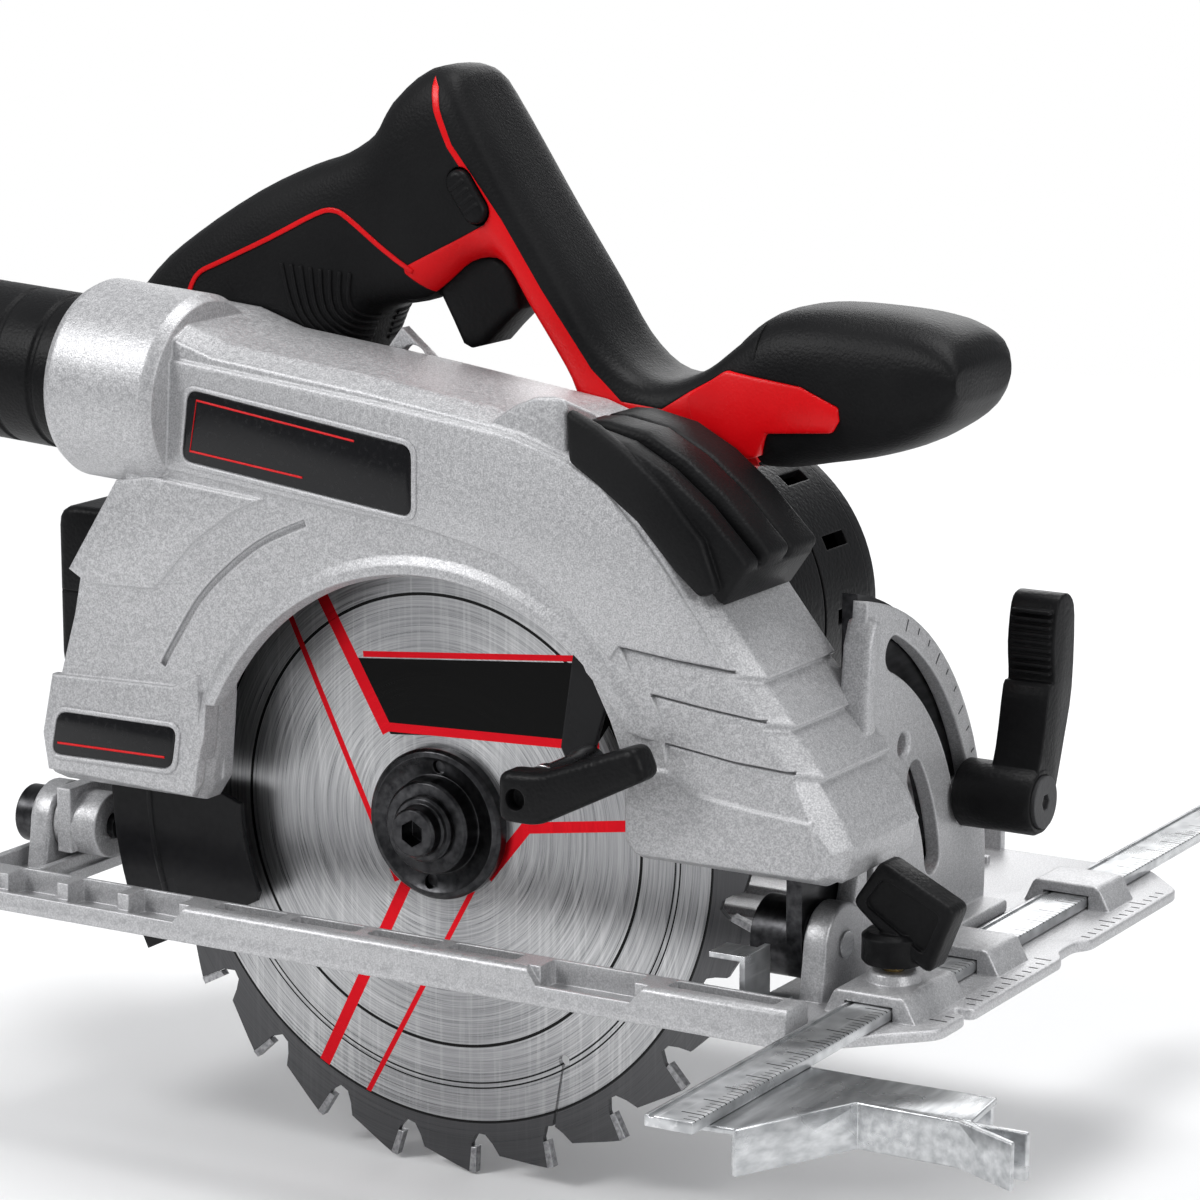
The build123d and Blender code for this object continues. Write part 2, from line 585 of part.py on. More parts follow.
TRIGGER_PIVOT, TRIGGER_STUB_R = (3.0, 168.0), 1.8


def handle():
    """Two clamshell halves, and the soft grips over their outer edge."""
    shell = polygon(SHELL_OUTER + HANDLE_UNDER)
    grip = polygon(HANDLE_OUTER + HANDLE_UNDER) - shell
    trigger_pocket = box((-24, 9), (22.5, 39.5), (150, 178.5))
    switch_pocket = box((-48, -22), (21.5, 40.5), (167, 191))
    button_hole = along_y(Pos(*BUTTON_AT) * Rot(0, 0, BUTTON_TILT) * SlotOverall(16.2, 7.6), 0, 60)
    stub_hole = round_along("y", TRIGGER_PIVOT, TRIGGER_STUB_R + RUN, 20.2, 41.8)
    halves = {"handle_right": (HANDLE_Y[0], HANDLE_MID), "handle_left": (HANDLE_MID, HANDLE_Y[1])}
    for name, (y0, y1) in halves.items():
        half = along_y(shell, y0, y1) - trigger_pocket - switch_pocket - button_hole - stub_hole
        keep(name, half - round_along("y", MOTOR, MOTOR_R, 0, 120) - gear_clearance())
    low, high = HANDLE_Y[0] - 0.2, HANDLE_Y[1] + 0.2
    rear = along_y(grip & (Pos(-40, 170) * Rectangle(198, 130)), low, high)
    front = along_y(grip & (Pos(110, 150) * Rectangle(102, 60)), low, high + 8)
    keep("grip_overmould", rear)
    keep("knob_overmould", front)


def gear_clearance():
    return round_along("y", SPINDLE, 44, 10, 50)


def trigger():
    """Trigger with two stubs that turn in the handle halves."""
    face = polygon([(-22.5, 167), (-15, 152), (-9.5, 150.8), (-2, 154), (6, 161), (7.5, 168),
                    (4, 172.5), (-18, 171)], 1.2)
    return along_y(face, 23, 39) + round_along("y", TRIGGER_PIVOT, TRIGGER_STUB_R, 20.5, 41.5)


def lock_off_button():
    return along_y(Pos(*BUTTON_AT) * Rot(0, 0, BUTTON_TILT) * SlotOverall(15.6, 7.0),
                   HANDLE_Y[0] - 2.4, HANDLE_Y[1] - 1.5)


def switch_module():
    return box((-47, -25.5), (22, 40), (168, 190))


# ---------------------------------------------------------------- battery
BATTERY_X, BATTERY_Y, BATTERY_Z = (-156.0, -62.0), (40.0, 112.0), (44.0, 93.0)


TERMINALS = ((-60.0, -44.0), (60.0, 92.0), (62.0, 84.0))


def battery_mount():
    """Foot under the handle that carries the battery rails and the electronics."""
    mount = box((-118, -16), (24, 112), (98.5, 112.8))
    mount += box((-70, -20), (52, 112), (60, 100)) + box((-118, -62), (30, 39.4), (80, 100))
    mount -= box((-130, -60), (39.4, 112.6), (43, 98.8))
    mount -= round_along("y", MOTOR, MOTOR_R, 0, 130) + gear_clearance()
    return mount - box((-100, -40), (50, 104), (101, 108)) - box(*TERMINALS)


def battery():
    x0, x1 = BATTERY_X
    y0, y1 = BATTERY_Y
    z0, z1 = BATTERY_Z
    case = box((x0, x1), (y0, y1), (z0, z1))
    case = chamfer(case.edges().filter_by(Axis.Y), 4)
    case += box((-118, x1 - 2), (y0 + 8, y1 - 8), (z1, 98.2))
    case -= box((x0 + 2.4, x1 - 2.4), (y0 + 2.4, y1 - 2.4), (z0 + 2.4, z1 - 2.4))
    latch_y, latch_z = (60, 92), (z1 - 22, z1 - 8)
    keep("battery_case", case - box((x0 - 1, x0 + 3), (latch_y[0] - GAP, latch_y[1] + GAP),
                                    (latch_z[0] - GAP, latch_z[1] + GAP)))
    keep("battery_latch", box((x0 - 3.5, x0 + 1), latch_y, latch_z))
    cells = [(x0 + 12 + 17.6 * i, z0 + 12.5 + 20 * row) for i in range(5) for row in range(2)]
    keep("battery_cells", [round_along("y", cell, 8.7, y0 + 3.5, y1 - 3.5) for cell in cells])


def terminal_block():
    return box(*TERMINALS)


def control_board():
    return box((-98, -42), (52, 102), (102, 104))


# ---------------------------------------------------------------- depth stop lever
def depth_stop():
    centre = depth_bolt_at()
    keep("depth_bolt", round_along("y", centre, 4.0, 12.6, 30))
    lever = along_y(ring(centre, 9) + polygon([(centre[0] - 8, centre[1] + 1), (centre[0] + 8, centre[1] + 1),
                    (centre[0] + 3, centre[1] - 42), (centre[0] - 5, centre[1] - 42)], 2), 20.2, 28)
    keep("depth_lever", lever - round_along("y", centre, 4.0 + RUN, 15, 35))


# ---------------------------------------------------------------- assembly
def build_all():
    keep("base_plate", base_plate())
    keep("bevel_quadrant", bevel_quadrant())
    pivot_pins()
    keep("cut_pointer", cut_pointer())
    keep("hex_key", hex_key())
    keep("fence_bar", fence_bar())
    keep("fence_foot", fence_foot())
    fence_clamp()
    keep("tilt_bracket", tilt_bracket())
    keep("rear_bracket", rear_bracket())
    keep("depth_pivot_pin", round_along("y", DEPTH, 4.0, -22.8, 15.0))
    keep("bevel_bolt", bevel_bolt())
    bevel_lever()
    keep("upper_guard", upper_guard())
    keep("guard_back_plate", guard_back_plate())
    keep("front_bumper", front_bumper())
    keep("badges", badges())
    keep("lower_guard", lower_guard())
    guard_lever()
    keep("guard_spring", guard_spring())
    keep("dust_adapter", dust_adapter())
    keep("blade", blade())
    keep("blade_tips", blade_tips())
    flanges_and_bolt()
    keep("spindle", spindle())
    gears()
    bearings()
    keep("gear_case", gear_case())
    keep("motor_housing", motor_housing())
    keep("motor_end_cap", motor_end_cap())
    motor_inside()
    keep("spindle_lock", spindle_lock())
    keep("housing_screws", housing_screws())
    handle()
    keep("trigger", trigger())
    keep("lock_off_button", lock_off_button())
    keep("switch_module", switch_module())
    keep("battery_mount", battery_mount())
    battery()
    keep("terminal_block", terminal_block())
    keep("control_board", control_board())
    depth_stop()


def solids_of(shape):
    """All the solids of a shape or of a list of shapes."""
    shapes = shape if isinstance(shape, list) else [shape]
    return [solid for one in shapes for solid in one.solids()]


build_all()
os.makedirs("parts", exist_ok=True)
for node, shape in PARTS.items():
    solids = solids_of(shape)
    placed = [solid.moved(Location((0, BLADE_Y, 0))) for solid in solids]
    export_step(placed[0] if len(placed) == 1 else Compound(children=placed), f"parts/{node}.step")
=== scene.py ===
"""Cordless circular saw: detailed pieces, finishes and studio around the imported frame.

Pieces are drawn in millimetres in the blade's frame: X forward along the cut, Y from the
blade to the motor with the blade's mid-plane at 0, Z up from the sole.
"""
import bpy
import bmesh
import json
from math import copysign, cos, pi, radians, sin
from mathutils import Matrix, Vector


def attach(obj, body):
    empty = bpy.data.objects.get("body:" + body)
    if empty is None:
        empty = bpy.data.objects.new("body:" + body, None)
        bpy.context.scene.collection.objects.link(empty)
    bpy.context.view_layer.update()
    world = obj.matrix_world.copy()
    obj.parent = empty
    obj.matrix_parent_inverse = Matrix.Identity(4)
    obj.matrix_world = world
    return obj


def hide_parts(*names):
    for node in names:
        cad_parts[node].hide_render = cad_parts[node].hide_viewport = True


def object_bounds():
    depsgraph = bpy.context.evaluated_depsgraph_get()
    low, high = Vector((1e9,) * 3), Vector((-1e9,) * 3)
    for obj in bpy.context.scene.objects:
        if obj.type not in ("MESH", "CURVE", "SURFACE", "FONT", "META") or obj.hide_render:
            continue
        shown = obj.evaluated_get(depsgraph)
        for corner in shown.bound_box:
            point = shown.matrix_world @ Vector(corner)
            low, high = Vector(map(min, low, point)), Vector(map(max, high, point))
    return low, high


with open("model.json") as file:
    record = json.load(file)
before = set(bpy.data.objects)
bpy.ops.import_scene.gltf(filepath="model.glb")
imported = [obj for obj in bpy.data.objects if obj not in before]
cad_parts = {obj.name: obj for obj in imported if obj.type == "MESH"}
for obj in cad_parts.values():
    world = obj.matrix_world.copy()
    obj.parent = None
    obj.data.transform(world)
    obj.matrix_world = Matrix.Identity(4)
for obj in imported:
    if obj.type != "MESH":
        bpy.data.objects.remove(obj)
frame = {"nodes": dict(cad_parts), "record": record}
cad_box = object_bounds()
collection = bpy.context.scene.collection

BLADE_Y = -48.5                        # the blade's place across the base, mm
TO_ROW = Matrix.Scale(0.001, 4) @ Matrix.Translation((0, BLADE_Y, 0))
AXES = {"x": Vector((1, 0, 0)), "y": Vector((0, 1, 0)), "z": Vector((0, 0, 1))}

SPINDLE = (0.0, 30.0)                  # x, z of the blade's axis
BEVEL = (-2.0, 15.0)                   # y, z of the bevel axis
BEVEL_SLOT_R, BEVEL_REST = 74.0, 18.5  # the bevel bolt's radius and direction about it
DEPTH = (116.0, 44.0)                  # x, z of the depth axis
DEPTH_BOLT_R, DEPTH_BOLT_AT = 170.0, 177.3
GUARD_Y = (-26.0, 15.0)                # the guard's outer face and its open side
WINDOW, WINDOW_R = (11.9, 29.2), 71.5  # x, z of the guard's round window
LOWER_R, LOWER_ARC = 100.6, (52.0, 207.0)
MOTOR, MOTOR_R, MOTOR_Y = (20.9, 74.4), 46.0, (40.0, 112.0)
HANDLE_Y = (15.6, 49.6)
PORT_FROM, PORT_SLOPE, PORT_Y = (-96.0, 140.8), 3.6, -10.0
CLAMP = (134.7, -5.5)                  # x, y of the fence clamp screw
BAR_X, BAR_Y, BAR_Z = (128.4, 141.0), (-117.0, 205.0), (3.3, 6.3)


# ---------------------------------------------------------------- shaping
def spot(axis, a, b, along):
    """Point with a and b across an axis and a place along it."""
    return {"x": (along, a, b), "y": (a, along, b), "z": (a, b, along)}[axis]


def polar(centre, radius, angle):
    return (centre[0] + radius * cos(radians(angle)), centre[1] + radius * sin(radians(angle)))


def arc(centre, radius, start, end, steps):
    """Points along an arc between two directions."""
    return [polar(centre, radius, start + (end - start) * k / steps) for k in range(steps + 1)]


def pulled(points, by):
    """Solid of one face, given by its corners, pulled straight by a distance."""
    bm = bmesh.new()
    face = bm.faces.new([bm.verts.new(point) for point in points])
    moved = bmesh.ops.extrude_face_region(bm, geom=[face])["geom"]
    verts = [item for item in moved if isinstance(item, bmesh.types.BMVert)]
    bmesh.ops.translate(bm, vec=by, verts=verts)
    bmesh.ops.recalc_face_normals(bm, faces=bm.faces)
    return bm


def prism(points, low, high, axis="y"):
    """Solid of one outline, drawn across an axis and pulled along it."""
    return pulled([spot(axis, a, b, low) for a, b in points], AXES[axis] * (high - low))


def block(x, y, z):
    """Box between a low and a high place on each axis."""
    bm = bmesh.new()
    size = [high - low for low, high in (x, y, z)]
    middle = [(high + low) / 2 for low, high in (x, y, z)]
    place = Matrix.Translation(middle) @ Matrix.Diagonal((*size, 1))
    bmesh.ops.create_cube(bm, size=1, matrix=place)
    return bm


def lathe(profile, centre, axis="y", steps=72, closed=False):
    """Turned solid; the profile is (radius, place along the axis) pairs."""
    bm = bmesh.new()
    first, second = centre
    verts = [bm.verts.new(spot(axis, first + radius, second, along)) for radius, along in profile]
    pairs = list(zip(verts, verts[1:])) + ([(verts[-1], verts[0])] if closed else [])
    edges = [bm.edges.new(pair) for pair in pairs]
    bmesh.ops.spin(bm, geom=verts + edges, cent=spot(axis, first, second, 0), axis=AXES[axis],
                   angle=2 * pi, steps=steps, use_merge=True, use_duplicate=False)
    bmesh.ops.remove_doubles(bm, verts=bm.verts, dist=1e-3)
    bmesh.ops.recalc_face_normals(bm, faces=bm.faces)
    return bm


def drum(radius, low, high, centre, axis="y", steps=72):
    """Round solid with square ends."""
    return lathe([(0, low), (radius, low), (radius, high), (0, high)], centre, axis, steps)


def rod(centre, radius, low, high, axis="y", steps=40, ease=0.6):
    """Round bar with eased ends."""
    ease = min(ease, radius / 2, abs(high - low) / 3)
    profile = [(0, low), (radius - ease, low), (radius - 0.3 * ease, low + 0.3 * ease),
               (radius, low + ease), (radius, high - ease),
               (radius - 0.3 * ease, high - 0.3 * ease), (radius - ease, high), (0, high)]
    return lathe(profile, centre, axis, steps)


def soften(bm, width, segments=3, angle=30.0, chosen=None):
    """Round the edges that turn by more than an angle."""
    edges = [edge for edge in bm.edges if len(edge.link_faces) == 2
             and edge.calc_face_angle(0) > radians(angle) and (chosen is None or chosen(edge))]
    bmesh.ops.bevel(bm, geom=edges, offset=width, offset_type="OFFSET", segments=segments,
                    profile=0.5, affect="EDGES", material=-1, clamp_overlap=True)
    return bm


def at_level(axis, level):
    """Picks edges that lie in the plane at a level of an axis."""
    index = "xyz".index(axis)
    return lambda edge: all(abs(vert.co[index] - level) < 0.01 for vert in edge.verts)


def turned(bm, angle, axis, centre):
    """The solid turned by degrees about an axis through a point."""
    bmesh.ops.rotate(bm, cent=centre, matrix=Matrix.Rotation(radians(angle), 3, AXES[axis]),
                     verts=bm.verts)
    return bm


def gathered(solids):
    """Several separate solids as one mesh."""
    whole = bmesh.new()
    for solid in solids:
        mesh = bpy.data.meshes.new("part")
        solid.to_mesh(mesh)
        solid.free()
        whole.from_mesh(mesh)
        bpy.data.meshes.remove(mesh)
    return whole


def as_object(bm, name):
    """A new object with the solid as its mesh; the solid goes."""
    mesh = bpy.data.meshes.new(name)
    bm.to_mesh(mesh)
    bm.free()
    obj = bpy.data.objects.new(name, mesh)
    collection.objects.link(obj)
    return obj


def finished_mesh(obj):
    """The object's mesh with its modifiers applied, as a bmesh; the object goes."""
    shown = obj.evaluated_get(bpy.context.evaluated_depsgraph_get())
    mesh = bpy.data.meshes.new_from_object(shown)
    bm = bmesh.new()
    bm.from_mesh(mesh)
    bpy.data.meshes.remove(mesh)
    bpy.data.objects.remove(obj)
    return bm


def combine(bm, tool, operation):
    """Exact boolean of two solids, made through objects that don't stay."""
    base, other = as_object(bm, "base"), as_object(tool, "tool")
    modifier = base.modifiers.new("combine", "BOOLEAN")
    modifier.operation, modifier.solver, modifier.object = operation, "EXACT", other
    result = finished_mesh(base)
    bpy.data.objects.remove(other)
    return result


def less(bm, *tools):
    for tool in tools:
        bm = combine(bm, tool, "DIFFERENCE")
    return bm


def plus(bm, *tools):
    for tool in tools:
        bm = combine(bm, tool, "UNION")
    return bm


def shared(bm, tool):
    return combine(bm, tool, "INTERSECT")


def strip_outline(points, width):
    """Outline of a strip of even width that follows a line of points."""
    left, right = [], []
    for index, (x, z) in enumerate(points):
        x0, z0 = points[max(index - 1, 0)]
        x1, z1 = points[min(index + 1, len(points) - 1)]
        length = ((x1 - x0) ** 2 + (z1 - z0) ** 2) ** 0.5
        across = (-(z1 - z0) / length * width / 2, (x1 - x0) / length * width / 2)
        left.append((x + across[0], z + across[1]))
        right.append((x - across[0], z - across[1]))
    return left + right[::-1]


def smooth_line(points, steps=6):
    """A rounder line through the same points."""
    result = []
    for k in range(len(points) - 1):
        p0, p1 = Vector(points[max(k - 1, 0)]), Vector(points[k])
        p2, p3 = Vector(points[k + 1]), Vector(points[min(k + 2, len(points) - 1)])
        for step in range(steps):
            t = step / steps
            curve = (2 * p1 + (p2 - p0) * t + (2 * p0 - 5 * p1 + 4 * p2 - p3) * t ** 2
                     + (3 * p1 - p0 - 3 * p2 + p3) * t ** 3) / 2
            result.append(tuple(curve))
    return result + [tuple(points[-1])]


def rings(stations, segments=32, squareness=3.2, grow=0.0):
    """Skin over rounded sections; each station is outer x, z, inner x, z, and y low, high."""
    bm = bmesh.new()
    loops = []
    for ox, oz, ix, iz, y_low, y_high in stations:
        outer, inner = Vector((ox, 0, oz)), Vector((ix, 0, iz))
        up = (outer - inner) / 2
        middle = (outer + inner) / 2 + Vector((0, (y_low + y_high) / 2, 0))
        half = up.length + grow
        up.normalize()
        wide = (y_high - y_low) / 2 + grow
        made = bmesh.ops.create_circle(bm, segments=segments, radius=1)["verts"]
        for vert in made:
            a, b = (copysign(abs(v) ** (2 / squareness), v) for v in vert.co.xy)
            vert.co = middle + up * (a * half) + AXES["y"] * (b * wide)
        loops.append([edge for edge in bm.edges if all(vert in made for vert in edge.verts)])
    for near, far in zip(loops, loops[1:]):
        bmesh.ops.bridge_loops(bm, edges=near + far)
    for loop in (loops[0], loops[-1]):
        bmesh.ops.contextual_create(bm, geom=loop)
    bmesh.ops.recalc_face_normals(bm, faces=bm.faces)
    return bm


def piece(bm, name, paint, body, slot, *nodes, sharp=32.0):
    """Finished piece in the row's frame: its material, its body and the nodes it stands for."""
    bmesh.ops.dissolve_degenerate(bm, dist=1e-3, edges=bm.edges)
    bmesh.ops.transform(bm, matrix=TO_ROW, verts=bm.verts)
    obj = as_object(bm, name)
    obj.data.validate()
    obj.data.materials.append(paint)
    obj.data.shade_smooth()
    obj.data.set_sharp_from_angle(angle=radians(sharp))
    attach(obj, body)
    if nodes:
        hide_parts(*nodes)
    return obj


# ---------------------------------------------------------------- finishes
class Finish:
    """A surface shader with helpers for its pattern nodes."""

    def __init__(self, name, roughness=0.5, metallic=0.0, coat=0.0):
        self.material = bpy.data.materials.new(name)
        self.material.use_nodes = True
        self.tree = self.material.node_tree
        self.shader = self.tree.nodes["Principled BSDF"]
        self.shader.inputs["Roughness"].default_value = roughness
        self.shader.inputs["Metallic"].default_value = metallic
        self.shader.inputs["Coat Weight"].default_value = coat
        self.coords = self.tree.nodes.new("ShaderNodeTexCoord").outputs["Object"]

    def link(self, value, socket):
        if isinstance(value, bpy.types.NodeSocket):
            self.tree.links.new(value, socket)
        else:
            socket.default_value = value

    def math(self, operation, a, b=0.0, c=0.0, clamp=False):
        node = self.tree.nodes.new("ShaderNodeMath")
        node.operation, node.use_clamp = operation, clamp
        for socket, value in zip(node.inputs, (a, b, c)):
            self.link(value, socket)
        return node.outputs[0]

    def noise(self, scale, detail=3.0, rough=0.5, stretch=None, vector=None):
        node = self.tree.nodes.new("ShaderNodeTexNoise")
        node.inputs["Scale"].default_value = scale
        node.inputs["Detail"].default_value = detail
        node.inputs["Roughness"].default_value = rough
        vector = vector or self.coords
        if stretch:
            mapping = self.tree.nodes.new("ShaderNodeMapping")
            mapping.inputs["Scale"].default_value = stretch
            self.link(vector, mapping.inputs["Vector"])
            vector = mapping.outputs["Vector"]
        self.link(vector, node.inputs["Vector"])
        return node.outputs["Fac"]

    def pebble(self, scale):
        node = self.tree.nodes.new("ShaderNodeTexVoronoi")
        node.feature = "SMOOTH_F1"
        node.inputs["Scale"].default_value = scale
        self.link(self.coords, node.inputs["Vector"])
        return node.outputs["Distance"]

    def span(self, value, low, high, to_low=0.0, to_high=1.0):
        """Stretch a value between two levels."""
        node = self.tree.nodes.new("ShaderNodeMapRange")
        for index, number in enumerate((value, low, high, to_low, to_high)):
            self.link(number, node.inputs[index])
        return node.outputs[0]

    def mix(self, amount, one, other):
        node = self.tree.nodes.new("ShaderNodeMix")
        node.data_type = "RGBA"
        self.link(amount, node.inputs["Factor"])
        for socket, value in ((node.inputs[6], one), (node.inputs[7], other)):
            self.link(value if isinstance(value, bpy.types.NodeSocket) else (*value, 1), socket)
        return node.outputs[2]

    def split(self):
        node = self.tree.nodes.new("ShaderNodeSeparateXYZ")
        self.link(self.coords, node.inputs[0])
        return node.outputs[:3]

    def colour(self, value):
        self.link(value, self.shader.inputs["Base Color"])

    def roughness(self, value):
        self.link(value, self.shader.inputs["Roughness"])

    def relief(self, height, depth, rounding=0.0):
        """Bump of a depth in metres, over edges eased by a rounding in metres."""
        bump = self.tree.nodes.new("ShaderNodeBump")
        bump.inputs["Distance"].default_value = depth
        self.link(height, bump.inputs["Height"])
        if rounding:
            self.link(self.eased(rounding), bump.inputs["Normal"])
        self.link(bump.outputs["Normal"], self.shader.inputs["Normal"])

    def eased(self, radius):
        node = self.tree.nodes.new("ShaderNodeBevel")
        node.samples = 6
        node.inputs["Radius"].default_value = radius
        return node.outputs["Normal"]

    def edges(self, radius, low=0.03, high=0.22):
        """Mask of the edges, for wear and for painted edge highlights."""
        geometry = self.tree.nodes.new("ShaderNodeNewGeometry").outputs["Normal"]
        dot = self.tree.nodes.new("ShaderNodeVectorMath")
        dot.operation = "DOT_PRODUCT"
        self.link(self.eased(radius), dot.inputs[0])
        self.link(geometry, dot.inputs[1])
        away = self.math("SUBTRACT", 1.0, dot.outputs["Value"])
        return self.span(away, low, high)


def shaded(colour, by, most=1.0):
    """A colour made lighter or darker, no lighter than a limit."""
    return [min(part * by, most) for part in colour]


def cast_paint(name, dark, light, metallic, rounding):
    """Grainy silver paint on a casting, with lighter edges that are part wear, part painted
    highlight.
    """
    paint = Finish(name, metallic=metallic)
    grain = paint.noise(2300, 2)
    coarse = paint.noise(700, 3)
    cloud = paint.noise(14, 4)
    speckle = paint.span(paint.math("ADD", grain, paint.math("MULTIPLY", coarse, 0.4)), 0.55, 0.9)
    colour = paint.mix(speckle, dark, light)
    dirt = paint.span(cloud, 0.35, 0.8, 0.0, 0.25)
    colour = paint.mix(dirt, colour, shaded(dark, 0.72))
    # Lighter edges: part wear, part painted highlight along the edges.
    worn_and_highlit_edges = paint.math("MULTIPLY", paint.edges(rounding * 1.3), 0.6)
    paint.colour(paint.mix(worn_and_highlit_edges, colour, shaded(light, 1.25, 0.95)))
    paint.roughness(paint.span(coarse, 0.3, 0.75, 0.34, 0.52))
    paint.relief(paint.math("ADD", grain, coarse), 0.00007, rounding)
    return paint.material


def moulded(name, dark, light, rough, pebble_scale, depth, rounding=0.0007, rim=0.35, gloss=0.12):
    """Moulded plastic or rubber with a pebbled face, smoother edges and a painted highlight along
    the edges.
    """
    paint = Finish(name)
    paint.shader.inputs["Specular IOR Level"].default_value = gloss
    pebbles = paint.pebble(pebble_scale)
    fine = paint.noise(pebble_scale * 2.2, 2)
    cloud = paint.noise(30, 5)
    colour = paint.mix(paint.span(cloud, 0.35, 0.75), dark, light)
    colour = paint.mix(paint.math("MULTIPLY", paint.span(pebbles, 0.2, 0.7), 0.35), colour, light)
    # Painted highlight along the edges, as strong as rim says.
    painted_rim_highlight = paint.math("MULTIPLY", paint.edges(rounding), rim)
    paint.colour(paint.mix(painted_rim_highlight, colour, [min(c * 2.6 + 0.01, 1) for c in light]))
    paint.roughness(paint.span(cloud, 0.3, 0.8, rough[0], rough[1]))
    paint.relief(paint.math("ADD", pebbles, paint.math("MULTIPLY", fine, 0.5)), depth, rounding)
    return paint.material


def machined(name, dark, light, rough, stretch, scale=300, rounding=0.0004, metallic=1.0):
    """Metal with fine drawn lines along one direction, stains and a painted highlight along the
    edges.
    """
    paint = Finish(name, metallic=metallic)
    lines = paint.noise(scale, 3, stretch=stretch)
    stains = paint.noise(45, 5)
    colour = paint.mix(paint.span(lines, 0.3, 0.7), dark, light)
    colour = paint.mix(paint.span(stains, 0.45, 0.8, 0.0, 0.45), colour, shaded(dark, 0.6))
    # Painted highlight along the edges.
    painted_rim_highlight = paint.math("MULTIPLY", paint.edges(rounding), 0.6)
    paint.colour(paint.mix(painted_rim_highlight, colour, shaded(light, 1.3)))
    paint.roughness(paint.span(stains, 0.25, 0.8, rough[0], rough[1]))
    paint.relief(lines, 0.00003, rounding)
    return paint.material


BLADE_LABEL = [(-29.4, 70.6), (-15.6, 51.6), (48, 57.6), (62, 79.2)]
BLADE_STRIPES = [                      # start, end, width
    ((-40, 92), (-16.5, 52), 3.6), ((-18, 53.4), (48, 56), 2.4), ((-24, 72.2), (54, 79.6), 1.6),
    ((-49, 84), (-14, 12), 1.7), ((-11, 12), (-46, -58), 3.4), ((13, 19), (-34, -66), 1.5),
    ((14, 17), (27, 33), 3.4), ((26, 31.8), (80, 40), 3.0),
]
BLADE_RIM_R = 81.2                     # where the ground face ends
BLADE_RINGS = [(60.5, 0.42), (70.5, 0.22), (71.9, 0.22), (BLADE_RIM_R, 0.4)]  # radius, half width


def blade_print():
    """Ground steel with printed rings, stripes, a plain dark band and a painted fan of sheen and
    shade.
    """
    paint = Finish("blade_steel", metallic=0.92)
    x, _, z = paint.split()
    x, z = paint.math("MULTIPLY", x, 1000), paint.math("MULTIPLY", z, 1000)
    height = paint.math("SUBTRACT", z, SPINDLE[1])
    squares = [paint.math("POWER", paint.math("ABSOLUTE", value), 2) for value in (x, height)]
    radius = paint.math("SQRT", paint.math("ADD", *squares))
    turn = paint.math("ARCTAN2", height, x)
    along = paint.tree.nodes.new("ShaderNodeCombineXYZ")
    paint.link(paint.math("MULTIPLY", radius, 1.6), along.inputs[0])
    paint.link(paint.math("COSINE", turn), along.inputs[1])
    paint.link(paint.math("SINE", turn), along.inputs[2])
    ground = paint.noise(1.4, 6, 0.7, vector=along.outputs[0])
    scratch = paint.noise(900, 2, stretch=(1, 1, 0.04))
    # Painted fan of lighter and darker sectors round the hub, standing in for the sheen and shade
    # of light on ground steel.
    sheen_wave = paint.math("SINE", paint.math("MULTIPLY_ADD", turn, 4.0, 0.9))
    painted_sheen_fan = paint.math("MULTIPLY", sheen_wave, 0.5)
    steel = paint.mix(paint.span(ground, 0.34, 0.66), (0.20, 0.205, 0.21), (0.62, 0.62, 0.63))
    steel = paint.mix(paint.span(scratch, 0.5, 0.8, 0.0, 0.3), steel, (0.9, 0.9, 0.9))
    steel = paint.mix(paint.span(painted_sheen_fan, -0.5, 0.5, 0.0, 0.42), steel, (0.16, 0.16, 0.17))

    def within(value, low, high):
        """Mask of the values between two levels."""
        return paint.math("MULTIPLY", paint.math("GREATER_THAN", value, low),
                          paint.math("LESS_THAN", value, high))

    def stripe(start, end, width):
        """Mask of a straight stripe between two points."""
        dx, dz = end[0] - start[0], end[1] - start[1]
        length = (dx * dx + dz * dz) ** 0.5
        dx, dz = dx / length, dz / length
        offset_x = paint.math("SUBTRACT", x, start[0])
        offset_z = paint.math("SUBTRACT", z, start[1])
        forward = paint.math("ADD", paint.math("MULTIPLY", offset_x, dx),
                             paint.math("MULTIPLY", offset_z, dz))
        aside = paint.math("ADD", paint.math("MULTIPLY", offset_x, -dz),
                           paint.math("MULTIPLY", offset_z, dx))
        return paint.math("MULTIPLY", within(forward, 0, length),
                          within(aside, -width / 2, width / 2))

    def any_of(masks):
        """Mask of every place that one of the masks covers."""
        total = masks[0]
        for mask in masks[1:]:
            total = paint.math("MAXIMUM", total, mask)
        return total

    label = 1.0
    for (x0, z0), (x1, z1) in zip(BLADE_LABEL, BLADE_LABEL[1:] + BLADE_LABEL[:1]):
        rise = paint.math("MULTIPLY", paint.math("SUBTRACT", z, z0), x1 - x0)
        run = paint.math("MULTIPLY", paint.math("SUBTRACT", x, x0), z1 - z0)
        side = paint.math("SUBTRACT", rise, run)
        label = paint.math("MULTIPLY", label, paint.math("GREATER_THAN", side, 0.0))
    bars = any_of([stripe(*row) for row in BLADE_STRIPES])
    lines = any_of([within(radius, r - half, r + half) for r, half in BLADE_RINGS])
    rim = paint.span(radius, BLADE_RIM_R, BLADE_RIM_R + 0.5)
    clear = paint.math("LESS_THAN", radius, BLADE_RIM_R)
    shade = paint.mix(lines, steel, (0.012, 0.012, 0.012))
    shade = paint.mix(label, shade, (0.006, 0.006, 0.006))
    shade = paint.mix(paint.math("MULTIPLY", bars, clear), shade, (0.62, 0.006, 0.014))
    shade = paint.mix(paint.math("MULTIPLY", rim, 0.9), shade, (0.055, 0.055, 0.058))
    paint.colour(shade)
    paint.roughness(paint.span(ground, 0.3, 0.7, 0.24, 0.42))
    paint.relief(ground, 0.00002, 0.0002)
    return paint.material


